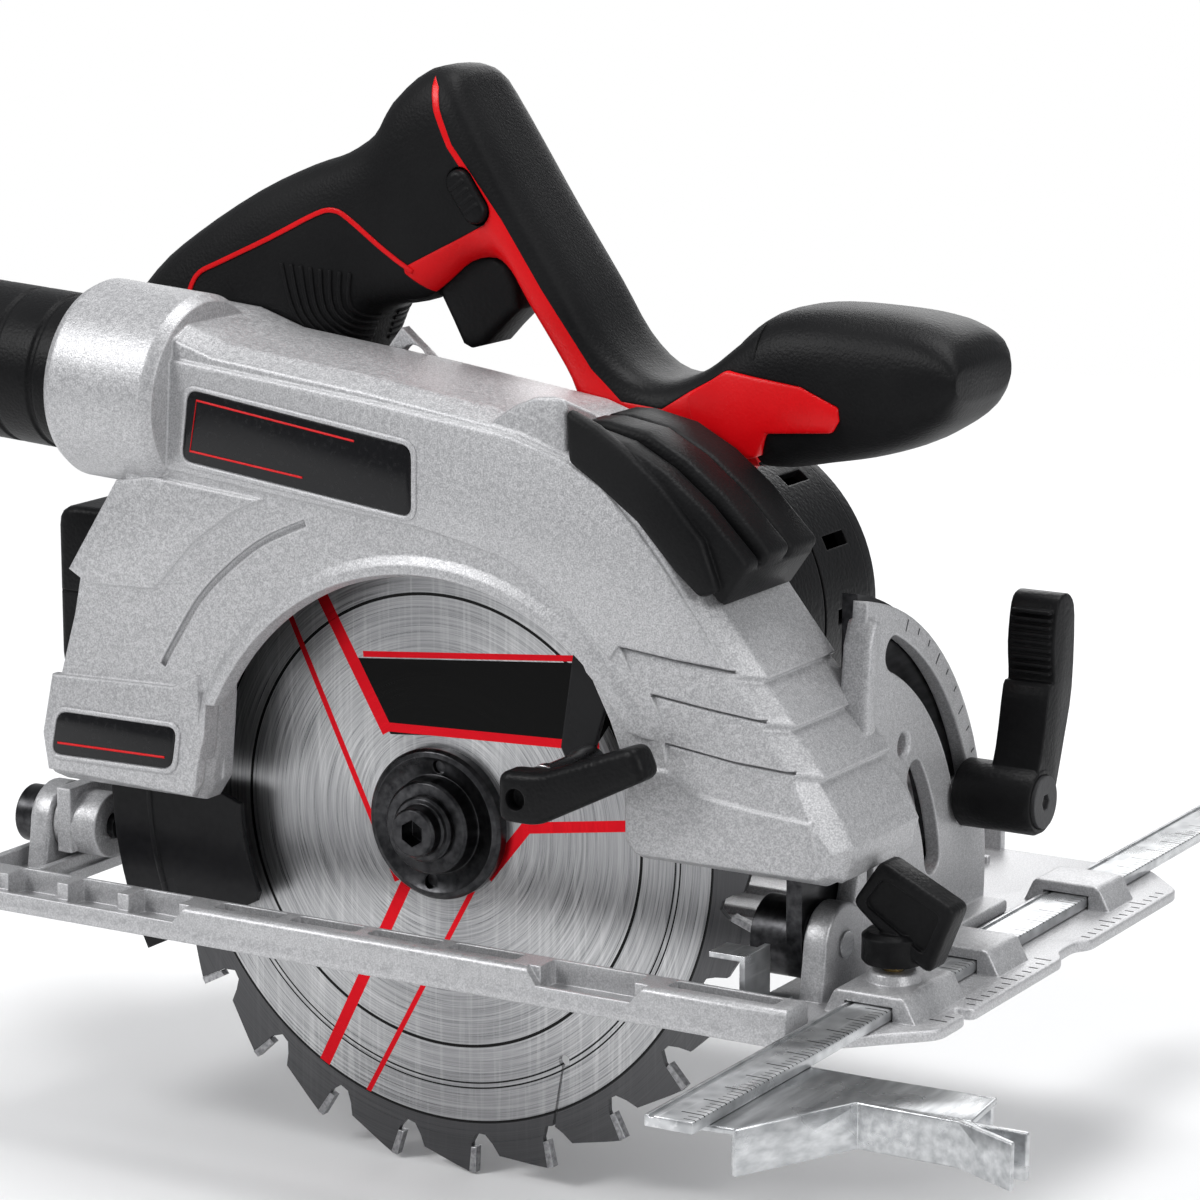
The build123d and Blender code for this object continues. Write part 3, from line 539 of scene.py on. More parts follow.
def badge_gloss():
    """Black glossy label face with slight dust in the gloss."""
    paint = Finish("badge_gloss", coat=0.12)
    paint.shader.inputs["Specular IOR Level"].default_value = 0.2
    dust = paint.noise(700, 4)
    paint.colour(paint.mix(paint.span(dust, 0.55, 0.8), (0.004, 0.004, 0.005),
                           (0.012, 0.012, 0.013)))
    paint.roughness(paint.span(dust, 0.3, 0.7, 0.16, 0.3))
    return paint.material


def scaled_zinc():
    """Zinc-plated bar with generic ruler marks along its length."""
    paint = Finish("fence_zinc", metallic=0.85)
    x, y, z = paint.split()
    spangle = paint.pebble(260)
    scratch = paint.noise(700, 4, stretch=(1, 0.08, 1))
    stains = paint.noise(60, 6)
    colour = paint.mix(paint.span(spangle, 0.1, 0.8), (0.40, 0.41, 0.42), (0.66, 0.67, 0.68))
    colour = paint.mix(paint.span(scratch, 0.55, 0.75, 0.0, 0.6), colour, (0.86, 0.86, 0.87))
    colour = paint.mix(paint.span(stains, 0.5, 0.75, 0.0, 0.5), colour, (0.14, 0.14, 0.145))
    short_tick, long_tick = (
        paint.math("LESS_THAN", paint.math("FRACT", paint.math("MULTIPLY", y, per_metre)), share)
        for per_metre, share in ((500, 0.16), (100, 0.05)))
    short_zone = paint.math("GREATER_THAN", x, (BAR_X[1] - 3.2) / 1000)
    long_zone = paint.math("GREATER_THAN", x, (BAR_X[1] - 6.0) / 1000)
    top = paint.math("GREATER_THAN", z, (BAR_Z[1] - 0.4) / 1000)
    marks = paint.math("MAXIMUM", paint.math("MULTIPLY", short_tick, short_zone),
                       paint.math("MULTIPLY", long_tick, long_zone))
    paint.colour(paint.mix(paint.math("MULTIPLY", marks, top), colour, (0.02, 0.02, 0.02)))
    paint.roughness(paint.span(stains, 0.3, 0.75, 0.22, 0.45))
    paint.relief(scratch, 0.00004, 0.0003)
    return paint.material


silver = cast_paint("silver_paint", (0.35, 0.35, 0.36), (0.60, 0.60, 0.61), 0.35, 0.0011)
base_silver = cast_paint("base_alloy", (0.40, 0.40, 0.41), (0.60, 0.60, 0.61), 0.5, 0.0006)
black = moulded("black_plastic", (0.004, 0.004, 0.0045), (0.009, 0.009, 0.0095), (0.34, 0.5),
                900, 0.00010)
rubber = moulded("soft_rubber", (0.0045, 0.0045, 0.005), (0.010, 0.010, 0.0105), (0.4, 0.58),
                 1300, 0.00008, 0.001, 0.2)
red = moulded("red_plastic", (0.60, 0.002, 0.004), (0.76, 0.004, 0.008), (0.24, 0.36), 1500,
              0.00003, 0.0008, 0.0, 0.22)
blade_steel = blade_print()
foot_zinc = machined("foot_zinc", (0.36, 0.37, 0.38), (0.62, 0.63, 0.64), (0.2, 0.4),
                     (1, 0.15, 1), 420, metallic=0.9)
black_gloss = moulded("smooth_black", (0.008, 0.008, 0.009), (0.016, 0.016, 0.017), (0.2, 0.34),
                      600, 0.00003)
carbide = machined("carbide", (0.20, 0.20, 0.21), (0.46, 0.46, 0.47), (0.3, 0.45), (1, 1, 1), 900)
black_steel = machined("blackened_steel", (0.025, 0.025, 0.027), (0.07, 0.07, 0.073),
                       (0.24, 0.42), (1, 0.2, 1), 500)
bright_steel = machined("bright_steel", (0.42, 0.42, 0.43), (0.74, 0.74, 0.75), (0.18, 0.34),
                        (1, 0.1, 1), 600)
zinc = scaled_zinc()
brass = machined("yellow_zinc", (0.42, 0.30, 0.12), (0.72, 0.56, 0.28), (0.26, 0.4), (1, 1, 0.2))
badge = badge_gloss()
gear_steel = machined("gear_steel", (0.20, 0.20, 0.20), (0.46, 0.46, 0.45), (0.3, 0.45), (1, 1, 1))
winding = machined("winding_copper", (0.40, 0.14, 0.05), (0.78, 0.34, 0.14), (0.3, 0.5),
                   (0.2, 1, 1), 800)
cap_grey = moulded("grey_cap", (0.035, 0.035, 0.037), (0.06, 0.06, 0.062), (0.4, 0.5),
                   1000, 0.00005)
cell_wrap = moulded("cell_wrap", (0.02, 0.12, 0.10), (0.03, 0.17, 0.14), (0.3, 0.4),
                    700, 0.00002)
board_green = moulded("circuit_board", (0.006, 0.07, 0.02), (0.012, 0.11, 0.035), (0.3, 0.5),
                      500, 0.00004)

SLOT_PAINT = {
    "cast_alloy": silver, "base_alloy": base_silver, "black_plastic": black, "soft_grip": rubber,
    "red_plastic": red, "blade_steel": blade_steel, "carbide": carbide,
    "black_steel": black_steel, "bright_steel": bright_steel, "zinc_plate": zinc,
    "brass_plate": brass, "badge": badge, "gear_steel": gear_steel, "winding": winding,
    "lever_cap": cap_grey, "cell_wrap": cell_wrap, "board": board_green,
}


def paint_nodes():
    """Every node carried over from the frame takes the finish of its slot."""
    for row in frame["record"]["subparts"]:
        mesh = frame["nodes"][row["node"]].data
        mesh.materials.clear()
        mesh.materials.append(SLOT_PAINT[row["material_slot"]])


# ---------------------------------------------------------------- blade guard
SIDE_RISE, REAR_RISE = 1.1, 1.4        # how far the badges' panels stand proud
GUARD_OUTLINE = [
    (-111, 34), (-111.5, 46), (-106.5, 65), (-102, 80), (-99.5, 92), (-90, 107), (-84, 118),
    (-84, 150), (-78, 160), (-66, 159), (-52, 154.5), (-6, 149.4), (41, 143), (55, 138.5),
    (67, 132), (76, 123.5), (84, 114), (95, 99.4), (107, 84.6), (105.6, 83.7), (112, 77.2),
    (114.6, 73.4), (113.2, 72.5), (120, 65.4), (122.6, 61.6), (121.2, 60.7), (128, 50.6),
    (130.8, 45.2), (129, 37), (124.5, 34.5), (72, 34.5), (67.5, 39), (67.2, 52), (66, 60),
    (-56, 60), (-58, 38), (-62, 32), (-108, 32),
]


def guard_shell():
    """Solid of the cast housing over the blade, with a deep sloped front edge; upper_guard hollows
    it and opens it below.
    """
    y0, y1 = GUARD_Y
    shell = prism(GUARD_OUTLINE, y0 + 6.5, y1)
    shell.faces.ensure_lookup_table()
    front = min(shell.faces, key=lambda face: face.calc_center_median().y)
    bmesh.ops.inset_region(shell, faces=[front], thickness=3.0, depth=6.5, use_even_offset=True)
    for vert in shell.verts:
        if vert.co.y < y0 + 1 and vert.co.x > 88 and vert.co.z > 48:
            vert.co += Vector((-2.2, 0, 0.5)) * min((vert.co.x - 88) / 12, 1)
    soften(shell, 0.8, 3, 14, lambda edge: max(v.co.y for v in edge.verts) < y1 - 0.5)
    return shell


def hollow(low_y):
    """Space inside the guard, from a wall at low_y to the open side."""
    bm = prism(GUARD_OUTLINE, low_y, GUARD_Y[1] + 2)
    ends = [face for face in bm.faces if abs(face.normal.y) > 0.9]
    bmesh.ops.inset_region(bm, faces=ends, thickness=3.2, depth=0, use_even_offset=True)
    bmesh.ops.delete(bm, geom=[face for face in bm.faces if face not in ends], context="FACES")
    painted_rim_highlight = [edge for edge in bm.edges if edge.is_boundary]
    bmesh.ops.bridge_loops(bm, edges=painted_rim_highlight)
    bmesh.ops.recalc_face_normals(bm, faces=bm.faces)
    return bm


def sloped_cut(upper, lower, deep):
    """Cutter for the guard's side, deep under its upper line and running out at its lower one."""
    level = GUARD_Y[0]
    points = [(x, level + deep, z) for x, z in upper] + [(x, level - 0.05, z) for x, z in lower]
    return pulled(points, (0, -8, 0))


def raised(points, rise, edge):
    """Low panel that stands proud of the guard's side."""
    level = GUARD_Y[0]
    bm = prism(points, level - rise, level + 1.5)
    return soften(bm, edge, 2, 20, at_level("y", level - rise))


def on_port(profile, steps=72, closed=False):
    """Turned solid about the dust port; places are distances to the rear of its mouth."""
    bm = lathe(profile, (0, 0), "x", steps, closed)
    turn = Matrix.Rotation(pi, 4, "Z")
    tilt = Matrix.Rotation(radians(PORT_SLOPE), 4, "Y")
    place = Matrix.Translation((PORT_FROM[0], PORT_Y, PORT_FROM[1])) @ tilt @ turn
    bmesh.ops.transform(bm, matrix=place, verts=bm.verts)
    bmesh.ops.recalc_face_normals(bm, faces=bm.faces)
    return bm


RAISED_PANELS = [                      # outline, rise, width of the eased edge
    ([(-71.5, 121.8), (-70, 150.6), (-62, 150.2), (-6, 144.6), (38, 139.2), (54, 134.2),
      (64, 128.6), (73, 120), (81, 110.8), (92, 96.8), (98.5, 87.2), (84.8, 87.9), (68.8, 89.4),
      (66, 85.7), (54.5, 97), (43, 104.6), (34.5, 108.4), (25.4, 110.6), (9.6, 113.6),
      (-25.8, 116.8)], SIDE_RISE, 0.8),
    ([(-100.4, 91.6), (-94.3, 88.2), (-72.3, 88.9), (-59, 103), (-46.1, 112.2), (-37, 116.0),
      (-72, 119.0), (-84, 117)], 0.9, 0.8),
    ([(-108.5, 36), (-110, 46), (-106.4, 62.5), (-66.5, 63.6), (-58.6, 67.6), (-57.8, 40),
      (-61, 34.4)], REAR_RISE, 0.8),
    ([(82.4, 60.0), (89, 55.4), (106.4, 53.2), (122.4, 52.0), (124.6, 42), (121.4, 37.4),
      (73.6, 37.2), (70.4, 41.4), (70.4, 50), (72.4, 60)], 0.9, 1.2),
]
NOSE_STEPS = [                         # upper and lower line of each sloped step
    ([(68.8, 89.2), (84.8, 87.5), (100.6, 86.4), (112, 85.6)],
     [(116, 78.4), (106.1, 79.2), (89.5, 80.5), (72.2, 82.7)]),
    ([(77.4, 78.2), (93.3, 76.4), (109.1, 75.0), (120, 74.2)],
     [(124, 66.2), (114.5, 67.0), (97.9, 68.6), (81.3, 71.6)]),
    ([(81.4, 66.4), (100.8, 64.0), (117.2, 63.2), (128, 62.4)],
     [(132, 51.6), (123.7, 52.3), (106.4, 53.5), (88.7, 55.7), (82, 60.3)]),
]


def upper_guard():
    """The guard's casting with its dust port, panels, window, nose steps and seats."""
    y0, y1 = GUARD_Y
    shell = guard_shell()
    collar = on_port([(0, -30), (24.5, -30), (26.2, -27), (26.4, 2), (25.2, 4.2), (23.4, 5),
                      (0, 5)], 64)
    shell = plus(shell, collar)
    for points, rise, edge in RAISED_PANELS:
        shell = plus(shell, raised(points, rise, edge))
    lip = lathe([(WINDOW_R, y0 - 1.3), (WINDOW_R + 3.0, y0 - 1.3), (WINDOW_R + 6.4, y0 + 0.5),
                 (WINDOW_R + 6.4, y0 + 5), (WINDOW_R, y0 + 5)], WINDOW, steps=120, closed=True)
    arch = prism([(-120, 36), (58, 60), (62, 70), (84, 66), (84, 170), (-120, 170)],
                 y0 - 3, y0 + 8)
    shell = plus(shell, shared(shared(lip, prism(GUARD_OUTLINE, y0 - 3, y0 + 8)), arch))
    hump = prism([(31, 142), (38, 146.6), (44, 149.6), (50, 150.2), (53.2, 149.2), (53.4, 134),
                  (31, 134)], y0 + 0.4, -10)
    for vert in hump.verts:
        if vert.co.y > -11 and vert.co.z > 140:
            vert.co.z = 140 + (vert.co.z - 140) * 0.4
    shell = plus(shell, soften(hump, 1.4, 3, 14))
    shell = less(shell, hollow(y0 + 3.4), window_cut())
    for upper, lower in NOSE_STEPS:
        crease = prism(strip_outline(upper[:3], 0.9), y0 - 3, y0 + 2.6)
        shell = less(shell, sloped_cut(upper, lower, 1.5), crease)
    dent = bmesh.new()
    place = Matrix.Translation((-75.6, y0 - 1.9, 137.6)) @ Matrix.Diagonal((4.6, 4.4, 13.5, 1))
    bmesh.ops.create_uvsphere(dent, u_segments=24, v_segments=16, radius=1, matrix=place)
    shell = less(shell, groove(), dent, block((-56, 66), (y0 + 2.6, y1 + 3), (-60, 64)),
                 block((-104, -50), (-13, y1 + 3), (20, 64)),
                 block((66, 127), (-21, y1 + 3), (30, 45)),
                 block((-120, -50), (y1, y1 + 30), (100, 180)),
                 on_port([(0, -20), (18.6, -20), (18.6, -8), (21.2, -8), (21.2, 8), (0, 8)], 64),
                 rod(DEPTH, 4.1, -23, -15))
    piece(shell, "guard_casting", silver, "head", "cast_alloy", "upper_guard", sharp=24)


def window_cut():
    """Cutter for the round window, stopped short at the nose."""
    y0 = GUARD_Y[0]
    cone = lathe([(0, y0 - 6), (WINDOW_R + 2.4, y0 - 6), (WINDOW_R + 0.6, y0 - 1.0),
                  (WINDOW_R - 0.5, y0 + 2.4), (WINDOW_R - 0.5, y0 + 9), (0, y0 + 9)],
                 WINDOW, steps=120)
    limit = [(-100, -60), (66.8, -60), (66.6, 44), (67.2, 54), (69.4, 62), (66, 70.5),
             (62.2, 77.7), (58, 86), (50, 96), (30, 114), (-100, 114)]
    return shared(cone, prism(limit, y0 - 8, y0 + 12))


def groove():
    """Curved tapering groove beside the window."""
    line = smooth_line([(-24.4, 111.2), (-40, 103.6), (-56.1, 90), (-66, 76), (-70.5, 68.7)])
    return prism(strip_outline(line, 1.9), GUARD_Y[0] - 3, GUARD_Y[0] + 1.5)


def front_bumper():
    """Rubber cap over the guard's front shoulder, in three raised bands."""
    outer = [(50.5, 142.4), (57.5, 142.2), (69, 139.4), (80, 133.6), (90.6, 125.4), (98, 118),
             (103.4, 112.6), (96, 101.6), (88, 110), (70, 129), (54, 136.2), (50.6, 138)]
    bands = []
    for low, high, rise in ((-24.4, -16.6, 0.0), (-15.4, -3.6, 2.2), (-2.4, 12.0, 1.2)):
        points = []
        for index, (x, z) in enumerate(outer):
            lift = rise * min(index / 2, 1) if index < 7 else 0
            points.append((x + lift * 0.55, z + lift * 0.75))
        bands.append(soften(prism(points, low, high), 1.8, 3, 28))
    bed = prism([(x - 0.8, z - 1.6) if index < 7 else (x, z)
                 for index, (x, z) in enumerate(outer)], -23.2, 11.6)
    bumper = plus(soften(bed, 1.0, 2, 28), gathered(bands))
    side = [(53.8, 147.2), (54.2, 140), (54.6, 134), (62.4, 129.2), (73.8, 121.1), (84.5, 109.8),
            (91.5, 103.9), (96.6, 106), (92, 118), (80, 130.6), (70, 138.4), (62, 143.6)]
    flap = soften(prism(side, -27.4, -22.6), 1.6, 3, 28)
    bumper = plus(bumper, flap)
    inside = guard_shell()
    piece(less(bumper, inside), "front_bumper_cap", rubber, "head", "soft_grip", "front_bumper",
          sharp=40)


def rounded(points, radius, steps=5):
    """Outline with its corners rounded."""
    result = []
    for index, point in enumerate(points):
        here = Vector(point)
        before, after = Vector(points[index - 1]), Vector(points[(index + 1) % len(points)])
        inward, outward = (before - here).normalized(), (after - here).normalized()
        reach = min(radius, (before - here).length / 2.2, (after - here).length / 2.2)
        start, end = here + inward * reach, here + outward * reach
        for step in range(steps + 1):
            t = step / steps
            result.append(tuple((1 - t) ** 2 * start + 2 * t * (1 - t) * here + t * t * end))
    return result


SIDE_BADGE = [(-61.7, 124.4), (8.7, 116.1), (8.9, 134), (-59.3, 143)]
REAR_BADGE = [(-106.6, 40.7), (-67.2, 41.3), (-65.2, 52.6), (-104.2, 52.5)]


def toward(points, margin):
    """Outline with its corners moved by a margin towards its middle."""
    middle = sum((Vector(p) for p in points), Vector((0, 0))) / len(points)
    return [(x + margin * copysign(1, middle.x - x), z + margin * copysign(1, middle.y - z))
            for x, z in points]


def badge_plates():
    """Two plain badges, each a glossy face in a raised frame, with thin red lines."""
    y = GUARD_Y[0]
    faces, frames, lines = [], [], []
    for points, level in ((SIDE_BADGE, y - SIDE_RISE), (REAR_BADGE, y - REAR_RISE)):
        plate = prism(rounded(points, 3.0), level - 0.35, level + 0.6)
        faces.append(soften(plate, 0.2, 2, 40))
        outer, inner = toward(points, -1.5), toward(points, -0.2)
        frame_ring = less(prism(rounded(outer, 4.0), level - 0.55, level + 0.5),
                          prism(rounded(inner, 3.2), level - 3, level + 3))
        frames.append(soften(frame_ring, 0.25, 2, 40))
    level = y - SIDE_RISE - 0.35
    corners = toward(SIDE_BADGE, 2.6)
    outline = strip_outline([(-8, 134.0), corners[3], corners[0], (-24, 123.2)], 0.55)
    lines.append(prism(outline, level - 0.12, level + 0.3))
    (x0, z0), (x1, z1) = toward(REAR_BADGE, 2.0)[:2]
    outline = strip_outline([(x0, z0 + 1.2), (x1, z1 + 1.0)], 0.6)
    lines.append(prism(outline, y - 1.87, y - REAR_RISE))
    piece(gathered(faces), "badge_faces", badge, "head", "badge", "badges")
    piece(gathered(frames), "badge_frames", silver, "head", "cast_alloy")
    piece(gathered(lines), "badge_lines", red, "head", "red_plastic")


# ---------------------------------------------------------------- handle
LOOP = [
    (-119, 112, -74, 112), (-120, 132, -73, 115), (-119, 150, -71, 120), (-107, 166, -62, 126),
    (-93, 177, -50, 135), (-73, 189, -43, 143), (-56, 196.5, -39.5, 151), (-44, 200.6, -36, 158),
    (-34, 207, -27, 161), (-28, 216, -18, 162.6), (-18, 223.6, -11, 167.2), (-9, 223.6, -4, 173),
    (-4, 217, 4, 174.6), (3, 206, 11, 170), (13, 191, 16.4, 162), (27, 171, 23.2, 152.6),
    (36, 157.4, 28, 145.4), (46, 149.4, 33, 134), (56, 148, 46, 123), (66, 152, 60, 122),
    (75, 159, 72, 126), (83, 165.4, 82, 127.6),
]
KNOB = [(72, 156, 72, 128), (79, 163.4, 78, 127.4), (86, 167.4, 87, 127.2),
        (97, 169, 98, 129.2), (110, 168.8, 110, 131.6), (121, 168, 121, 135),
        (129, 166.4, 129, 139.2), (135.4, 163.4, 135, 143.6), (138.8, 158.6, 138.6, 149.4)]
RED_EDGE = [(-13.8, 222), (-11.4, 219.4), (-10, 213.8), (-5.9, 205), (3.1, 194), (9.1, 186.6),
            (21, 169.4), (35.9, 150), (44.7, 142.4), (56.4, 141.4), (64, 146.4), (75, 152.5),
            (96.3, 149.7), (106.9, 146), (107, 142.6), (104.8, 139.4), (86.6, 137.8),
            (83.8, 131.5), (74, 120), (56, 108), (24, 108), (14, 150), (4, 158), (-9, 158),
            (-13.8, 164.6), (-21.4, 170.6), (-21.6, 172.2), (-9, 178.6), (3.8, 185), (5.2, 187.6),
            (1.6, 193), (-7.4, 204.2), (-11.9, 213.4), (-13.4, 219)]
SEAM = [(-91, 158.4), (-89.6, 163.4), (-87, 166.8), (-80.6, 169.8), (-64, 177.3), (-49, 184.6),
        (-43.2, 185.9), (-38.5, 184), (-29.2, 177.6), (-18.9, 171.2)]


BUTTON_AT, BUTTON_TILT = (-1.0, 192.0), -55.0


def loop_body(grow=0.0):
    """The handle's loop from the tail over the grip to the front knob."""
    low, high = HANDLE_Y
    stations = []
    for ox, oz, ix, iz in LOOP:
        narrow = 0.6 if -100 < ox < -30 else 0.0
        stations.append((ox, oz, ix, iz, low + narrow, high - narrow))
    return rings(smooth_line(stations, 3), 40, 3.6, grow)


def knob_body():
    """The front knob, widest in its middle."""
    low, high = HANDLE_Y
    spread = [0, 1.5, 3.6, 5.4, 6.4, 6.6, 5.8, 3.0, -2.6]
    stations = [(*ends, low - 0.4, high + more) for ends, more in zip(KNOB, spread)]
    return rings(smooth_line(stations, 3), 40, 2.9)


def clearance(grow=0.2):
    """Space the motor takes from the handle's foot and the battery's mount."""
    return drum(MOTOR_R + grow, 0, 130, MOTOR)


def handle():
    """Red shell, soft grip, seam, ribs, inlay and front knob, all cut from the same skins."""
    low, high = HANDLE_Y
    skin = loop_body()
    foot = prism([(30, 146), (33, 138), (31.6, 114), (60, 112), (68, 124), (72, 134), (56, 142)],
                 low + 0.4, high - 0.4)
    body = plus(skin, soften(foot, 2.0, 3, 30))
    body = less(body, block((-24, 12.5), (22.5, 39.5), (150, 179)), clearance())
    red_zone = prism(RED_EDGE, low - 5, high + 5)
    spare = body.copy()
    red_part = shared(body, red_zone)
    black_part = less(spare, prism(RED_EDGE, low - 6, high + 6))
    button = prism(pill(BUTTON_AT, BUTTON_TILT, 16.6, 8.0), low - 5, high + 5)
    black_part, red_part = less(black_part, button.copy()), less(red_part, button)
    piece(red_part, "handle_shell", red, "head", "red_plastic", "handle_right", "handle_left",
          sharp=40)
    piece(black_part, "handle_grip", rubber, "head", "soft_grip", "grip_overmould", sharp=40)
    line = strip_outline(smooth_line(SEAM, 3), 1.3)
    seam_strips = gathered([prism(line, low - 5, low + 6), prism(line, high - 6, high + 5)])
    piece(shared(loop_body(0.35), seam_strips), "grip_seam", red, "head", "red_plastic", sharp=50)
    strips = []
    for k in range(8):
        start, end = (-60 + 3.1 * k, 171 - 0.2 * k), (-44.5 + 1.6 * k, 147 + 1.0 * k)
        bow = ((start[0] + end[0]) / 2 - 3.4, (start[1] + end[1]) / 2 - 1.5)
        line = strip_outline(smooth_line([start, bow, end], 5), 0.9)
        strips += [prism(line, low - 5, low + 13), prism(line, high - 13, high + 5)]
    piece(shared(loop_body(0.5), gathered(strips)), "grip_ribs", rubber, "head", "soft_grip",
          sharp=50)
    inlay = [(64, 145.4), (75, 152.8), (96.3, 150.4), (106.9, 146), (107, 142.6), (104.8, 139.4),
             (86.6, 137.8), (83.8, 131.5), (68, 128)]
    ledge = soften(prism(inlay, low - 0.9, low + 9), 0.8, 2, 40)
    piece(ledge, "knob_inlay", red, "head", "red_plastic", sharp=40)
    knob = less(knob_body(), prism(inlay, low - 5, low + 9))
    piece(knob, "front_knob", rubber, "head", "soft_grip", "knob_overmould", sharp=50)


def pill(centre, tilt, length, width):
    """Outline of a slot with round ends."""
    half = (length - width) / 2
    points = (arc((half, 0), width / 2, -90, 90, 10) + arc((-half, 0), width / 2, 90, 270, 10))
    c, s = cos(radians(tilt)), sin(radians(tilt))
    return [(centre[0] + x * c - z * s, centre[1] + x * s + z * c) for x, z in points]


def switches():
    """Lock-off button through the handle, and the trigger under it."""
    low, high = HANDLE_Y
    button = prism(pill(BUTTON_AT, BUTTON_TILT, 15.4, 6.9), low - 2.2, high - 1.6)
    soften(button, 1.6, 4, 40, at_level("y", low - 2.2))
    grips = [prism(pill(polar(BUTTON_AT, offset, BUTTON_TILT), BUTTON_TILT + 90, 5.0, 0.8),
                   low - 2.4, low - 1.6) for offset in (-3.6, -1.2, 1.2, 3.6)]
    piece(plus(button, gathered(grips)), "lock_off", black, "lock_off", "black_plastic",
          "lock_off_button")
    face = [(-15.8, 166), (-11.5, 158.4), (-8.2, 152.2), (-5.8, 151.2), (-1.4, 152.4),
            (2.6, 156.6), (6.4, 160.2), (9.4, 162.6), (8.8, 169), (5.4, 174.6), (1, 176.8),
            (-6, 176), (-12, 171.6)]
    lever = soften(prism(face, 23, 39), 2.4, 4, 26,
                   lambda edge: at_level("y", 23)(edge) or at_level("y", 39)(edge))
    piece(lever, "trigger_lever", black, "trigger", "black_plastic", "trigger", sharp=40)


# ---------------------------------------------------------------- dust adapter and motor
def dust_adapter():
    """Grooved hose adapter with a softly worn mouth."""
    profile = [(18, -7), (20.7, -7)]
    for start in range(12, 70, 13):
        profile += [(20.9, start - 0.5), (20.3, start + 0.2),
                    (20.3, start + 1.2), (20.9, start + 1.9)]
    profile += [(20.9, 72.6), (20.2, 73.8), (19.2, 74), (18, 73.6)]
    piece(on_port(profile, 96, closed=True), "hose_adapter", rubber, "dust_adapter",
          "black_plastic", "dust_adapter", sharp=30)


def motor_shell():
    """Ribbed cup and vented cap round the motor."""
    y0, y1 = MOTOR_Y
    cup = lathe([(6, y0), (40, y0), (44, y0 + 1.4), (MOTOR_R, y0 + 5), (MOTOR_R, y1), (43, y1),
                 (43, y0 + 3), (6, y0 + 3)], MOTOR, steps=96, closed=True)
    vents = []
    for step in range(14):
        vent = block((MOTOR_R - 7, MOTOR_R + 4), (94, 106), (-2, 2))
        bmesh.ops.translate(vent, vec=(MOTOR[0], 0, MOTOR[1]), verts=vent.verts)
        vents.append(turned(vent, step * 360 / 14, "y", (MOTOR[0], 0, MOTOR[1])))
    cup = less(cup, gathered(vents))
    grooves = [lathe([(MOTOR_R - 0.8, y), (MOTOR_R + 2, y), (MOTOR_R + 2, y + 1.2),
                      (MOTOR_R - 0.8, y + 1.2)], MOTOR, steps=96, closed=True)
               for y in (58, 62, 86)]
    cup = less(cup, gathered(grooves))
    piece(cup, "motor_cup", black, "head", "black_plastic", "motor_housing", sharp=35)
    cap = lathe([(0, y1), (MOTOR_R, y1), (MOTOR_R, y1 + 4), (MOTOR_R - 1.5, y1 + 7),
                 (MOTOR_R - 5, y1 + 8.8), (30, y1 + 9), (14, y1 + 9), (13, y1 + 8.2),
                 (0, y1 + 8.2)], MOTOR, steps=96)
    slots = [drum(11, y1 - 1, y1 + 6, MOTOR, steps=48)]
    for step in range(18):
        slot = prism(pill((26, 0), 0, 17, 2.8), y1 - 2, y1 + 12)
        bmesh.ops.translate(slot, vec=(MOTOR[0], 0, MOTOR[1]), verts=slot.verts)
        slots.append(turned(slot, step * 20 + 5, "y", (MOTOR[0], 0, MOTOR[1])))
    piece(less(cap, gathered(slots)), "motor_cap", black, "head", "black_plastic",
          "motor_end_cap", sharp=35)


# ---------------------------------------------------------------- battery and gear case
BATTERY_X, BATTERY_Y, BATTERY_Z = (-156.0, -62.0), (40.0, 112.0), (44.0, 93.0)
LATCH_Y, LATCH_Z = (60.0, 92.0), (71.0, 85.0)
TERMINALS = ((-60.0, -44.0), (60.0, 92.0), (62.0, 84.0))


def battery_case():
    """Battery housing with a seam, ribbed side panels and a raised slide rail."""
    (x0, x1), (y0, y1), (z0, z1) = BATTERY_X, BATTERY_Y, BATTERY_Z
    side = rounded([(x0, z0), (x1, z0), (x1, z1), (x0, z1)], 6, 4)
    case = soften(prism(side, y0, y1), 2.2, 3, 50)
    rail = soften(block((-118, x1 - 2), (y0 + 8, y1 - 8), (z1 - 3, 98.2)), 0.8, 2, 50)
    case = plus(case, rail)
    seam = less(block((x0 - 1, x1 + 1), (y0 - 1, y1 + 1), (67.6, 68.5)),
                block((x0 + 0.7, x1 - 0.7), (y0 + 0.7, y1 - 0.7), (66, 70)))
    panel = prism(rounded([(x0 + 9, 49), (x1 - 12, 49), (x1 - 18, 63.6), (x0 + 9, 63.6)], 2.4, 4),
                  y0 - 1, y1 + 1)
    panel = less(panel, block((x0, x1), (y0 + 1.1, y1 - 1.1), (z0, z1)))
    case = less(case, seam, panel,
                block((x0 + 3, x1 - 3), (y0 + 3.2, y1 - 3.2), (z0 + 3, z1 - 3.2)),
                block((x0 - 1, x0 + 4), (LATCH_Y[0] - 0.4, LATCH_Y[1] + 0.4),
                      (LATCH_Z[0] - 0.4, LATCH_Z[1] + 0.4)))
    ribs = [soften(block((x0 + 13 + 9.6 * k, x0 + 17 + 9.6 * k), (y, y + 1.8), (50, 62.4)),
                   0.6, 2, 40)
            for k in range(6) for y in (y0 + 0.3, y1 - 2.1)]
    piece(plus(case, gathered(ribs)), "battery_shell", black, "battery", "black_plastic",
          "battery_case", sharp=40)
    latch = soften(block((x0 - 3.5, x0 + 1), LATCH_Y, LATCH_Z), 1.2, 3, 40)
    grips = [block((x0 - 5, x0 - 2.9), (LATCH_Y[0] + 4, LATCH_Y[1] - 4), (z, z + 1.1))
             for z in (73.4, 76.2, 79.0, 81.8)]
    piece(less(latch, gathered(grips)), "battery_button", red, "battery_latch", "red_plastic",
          "battery_latch", sharp=40)


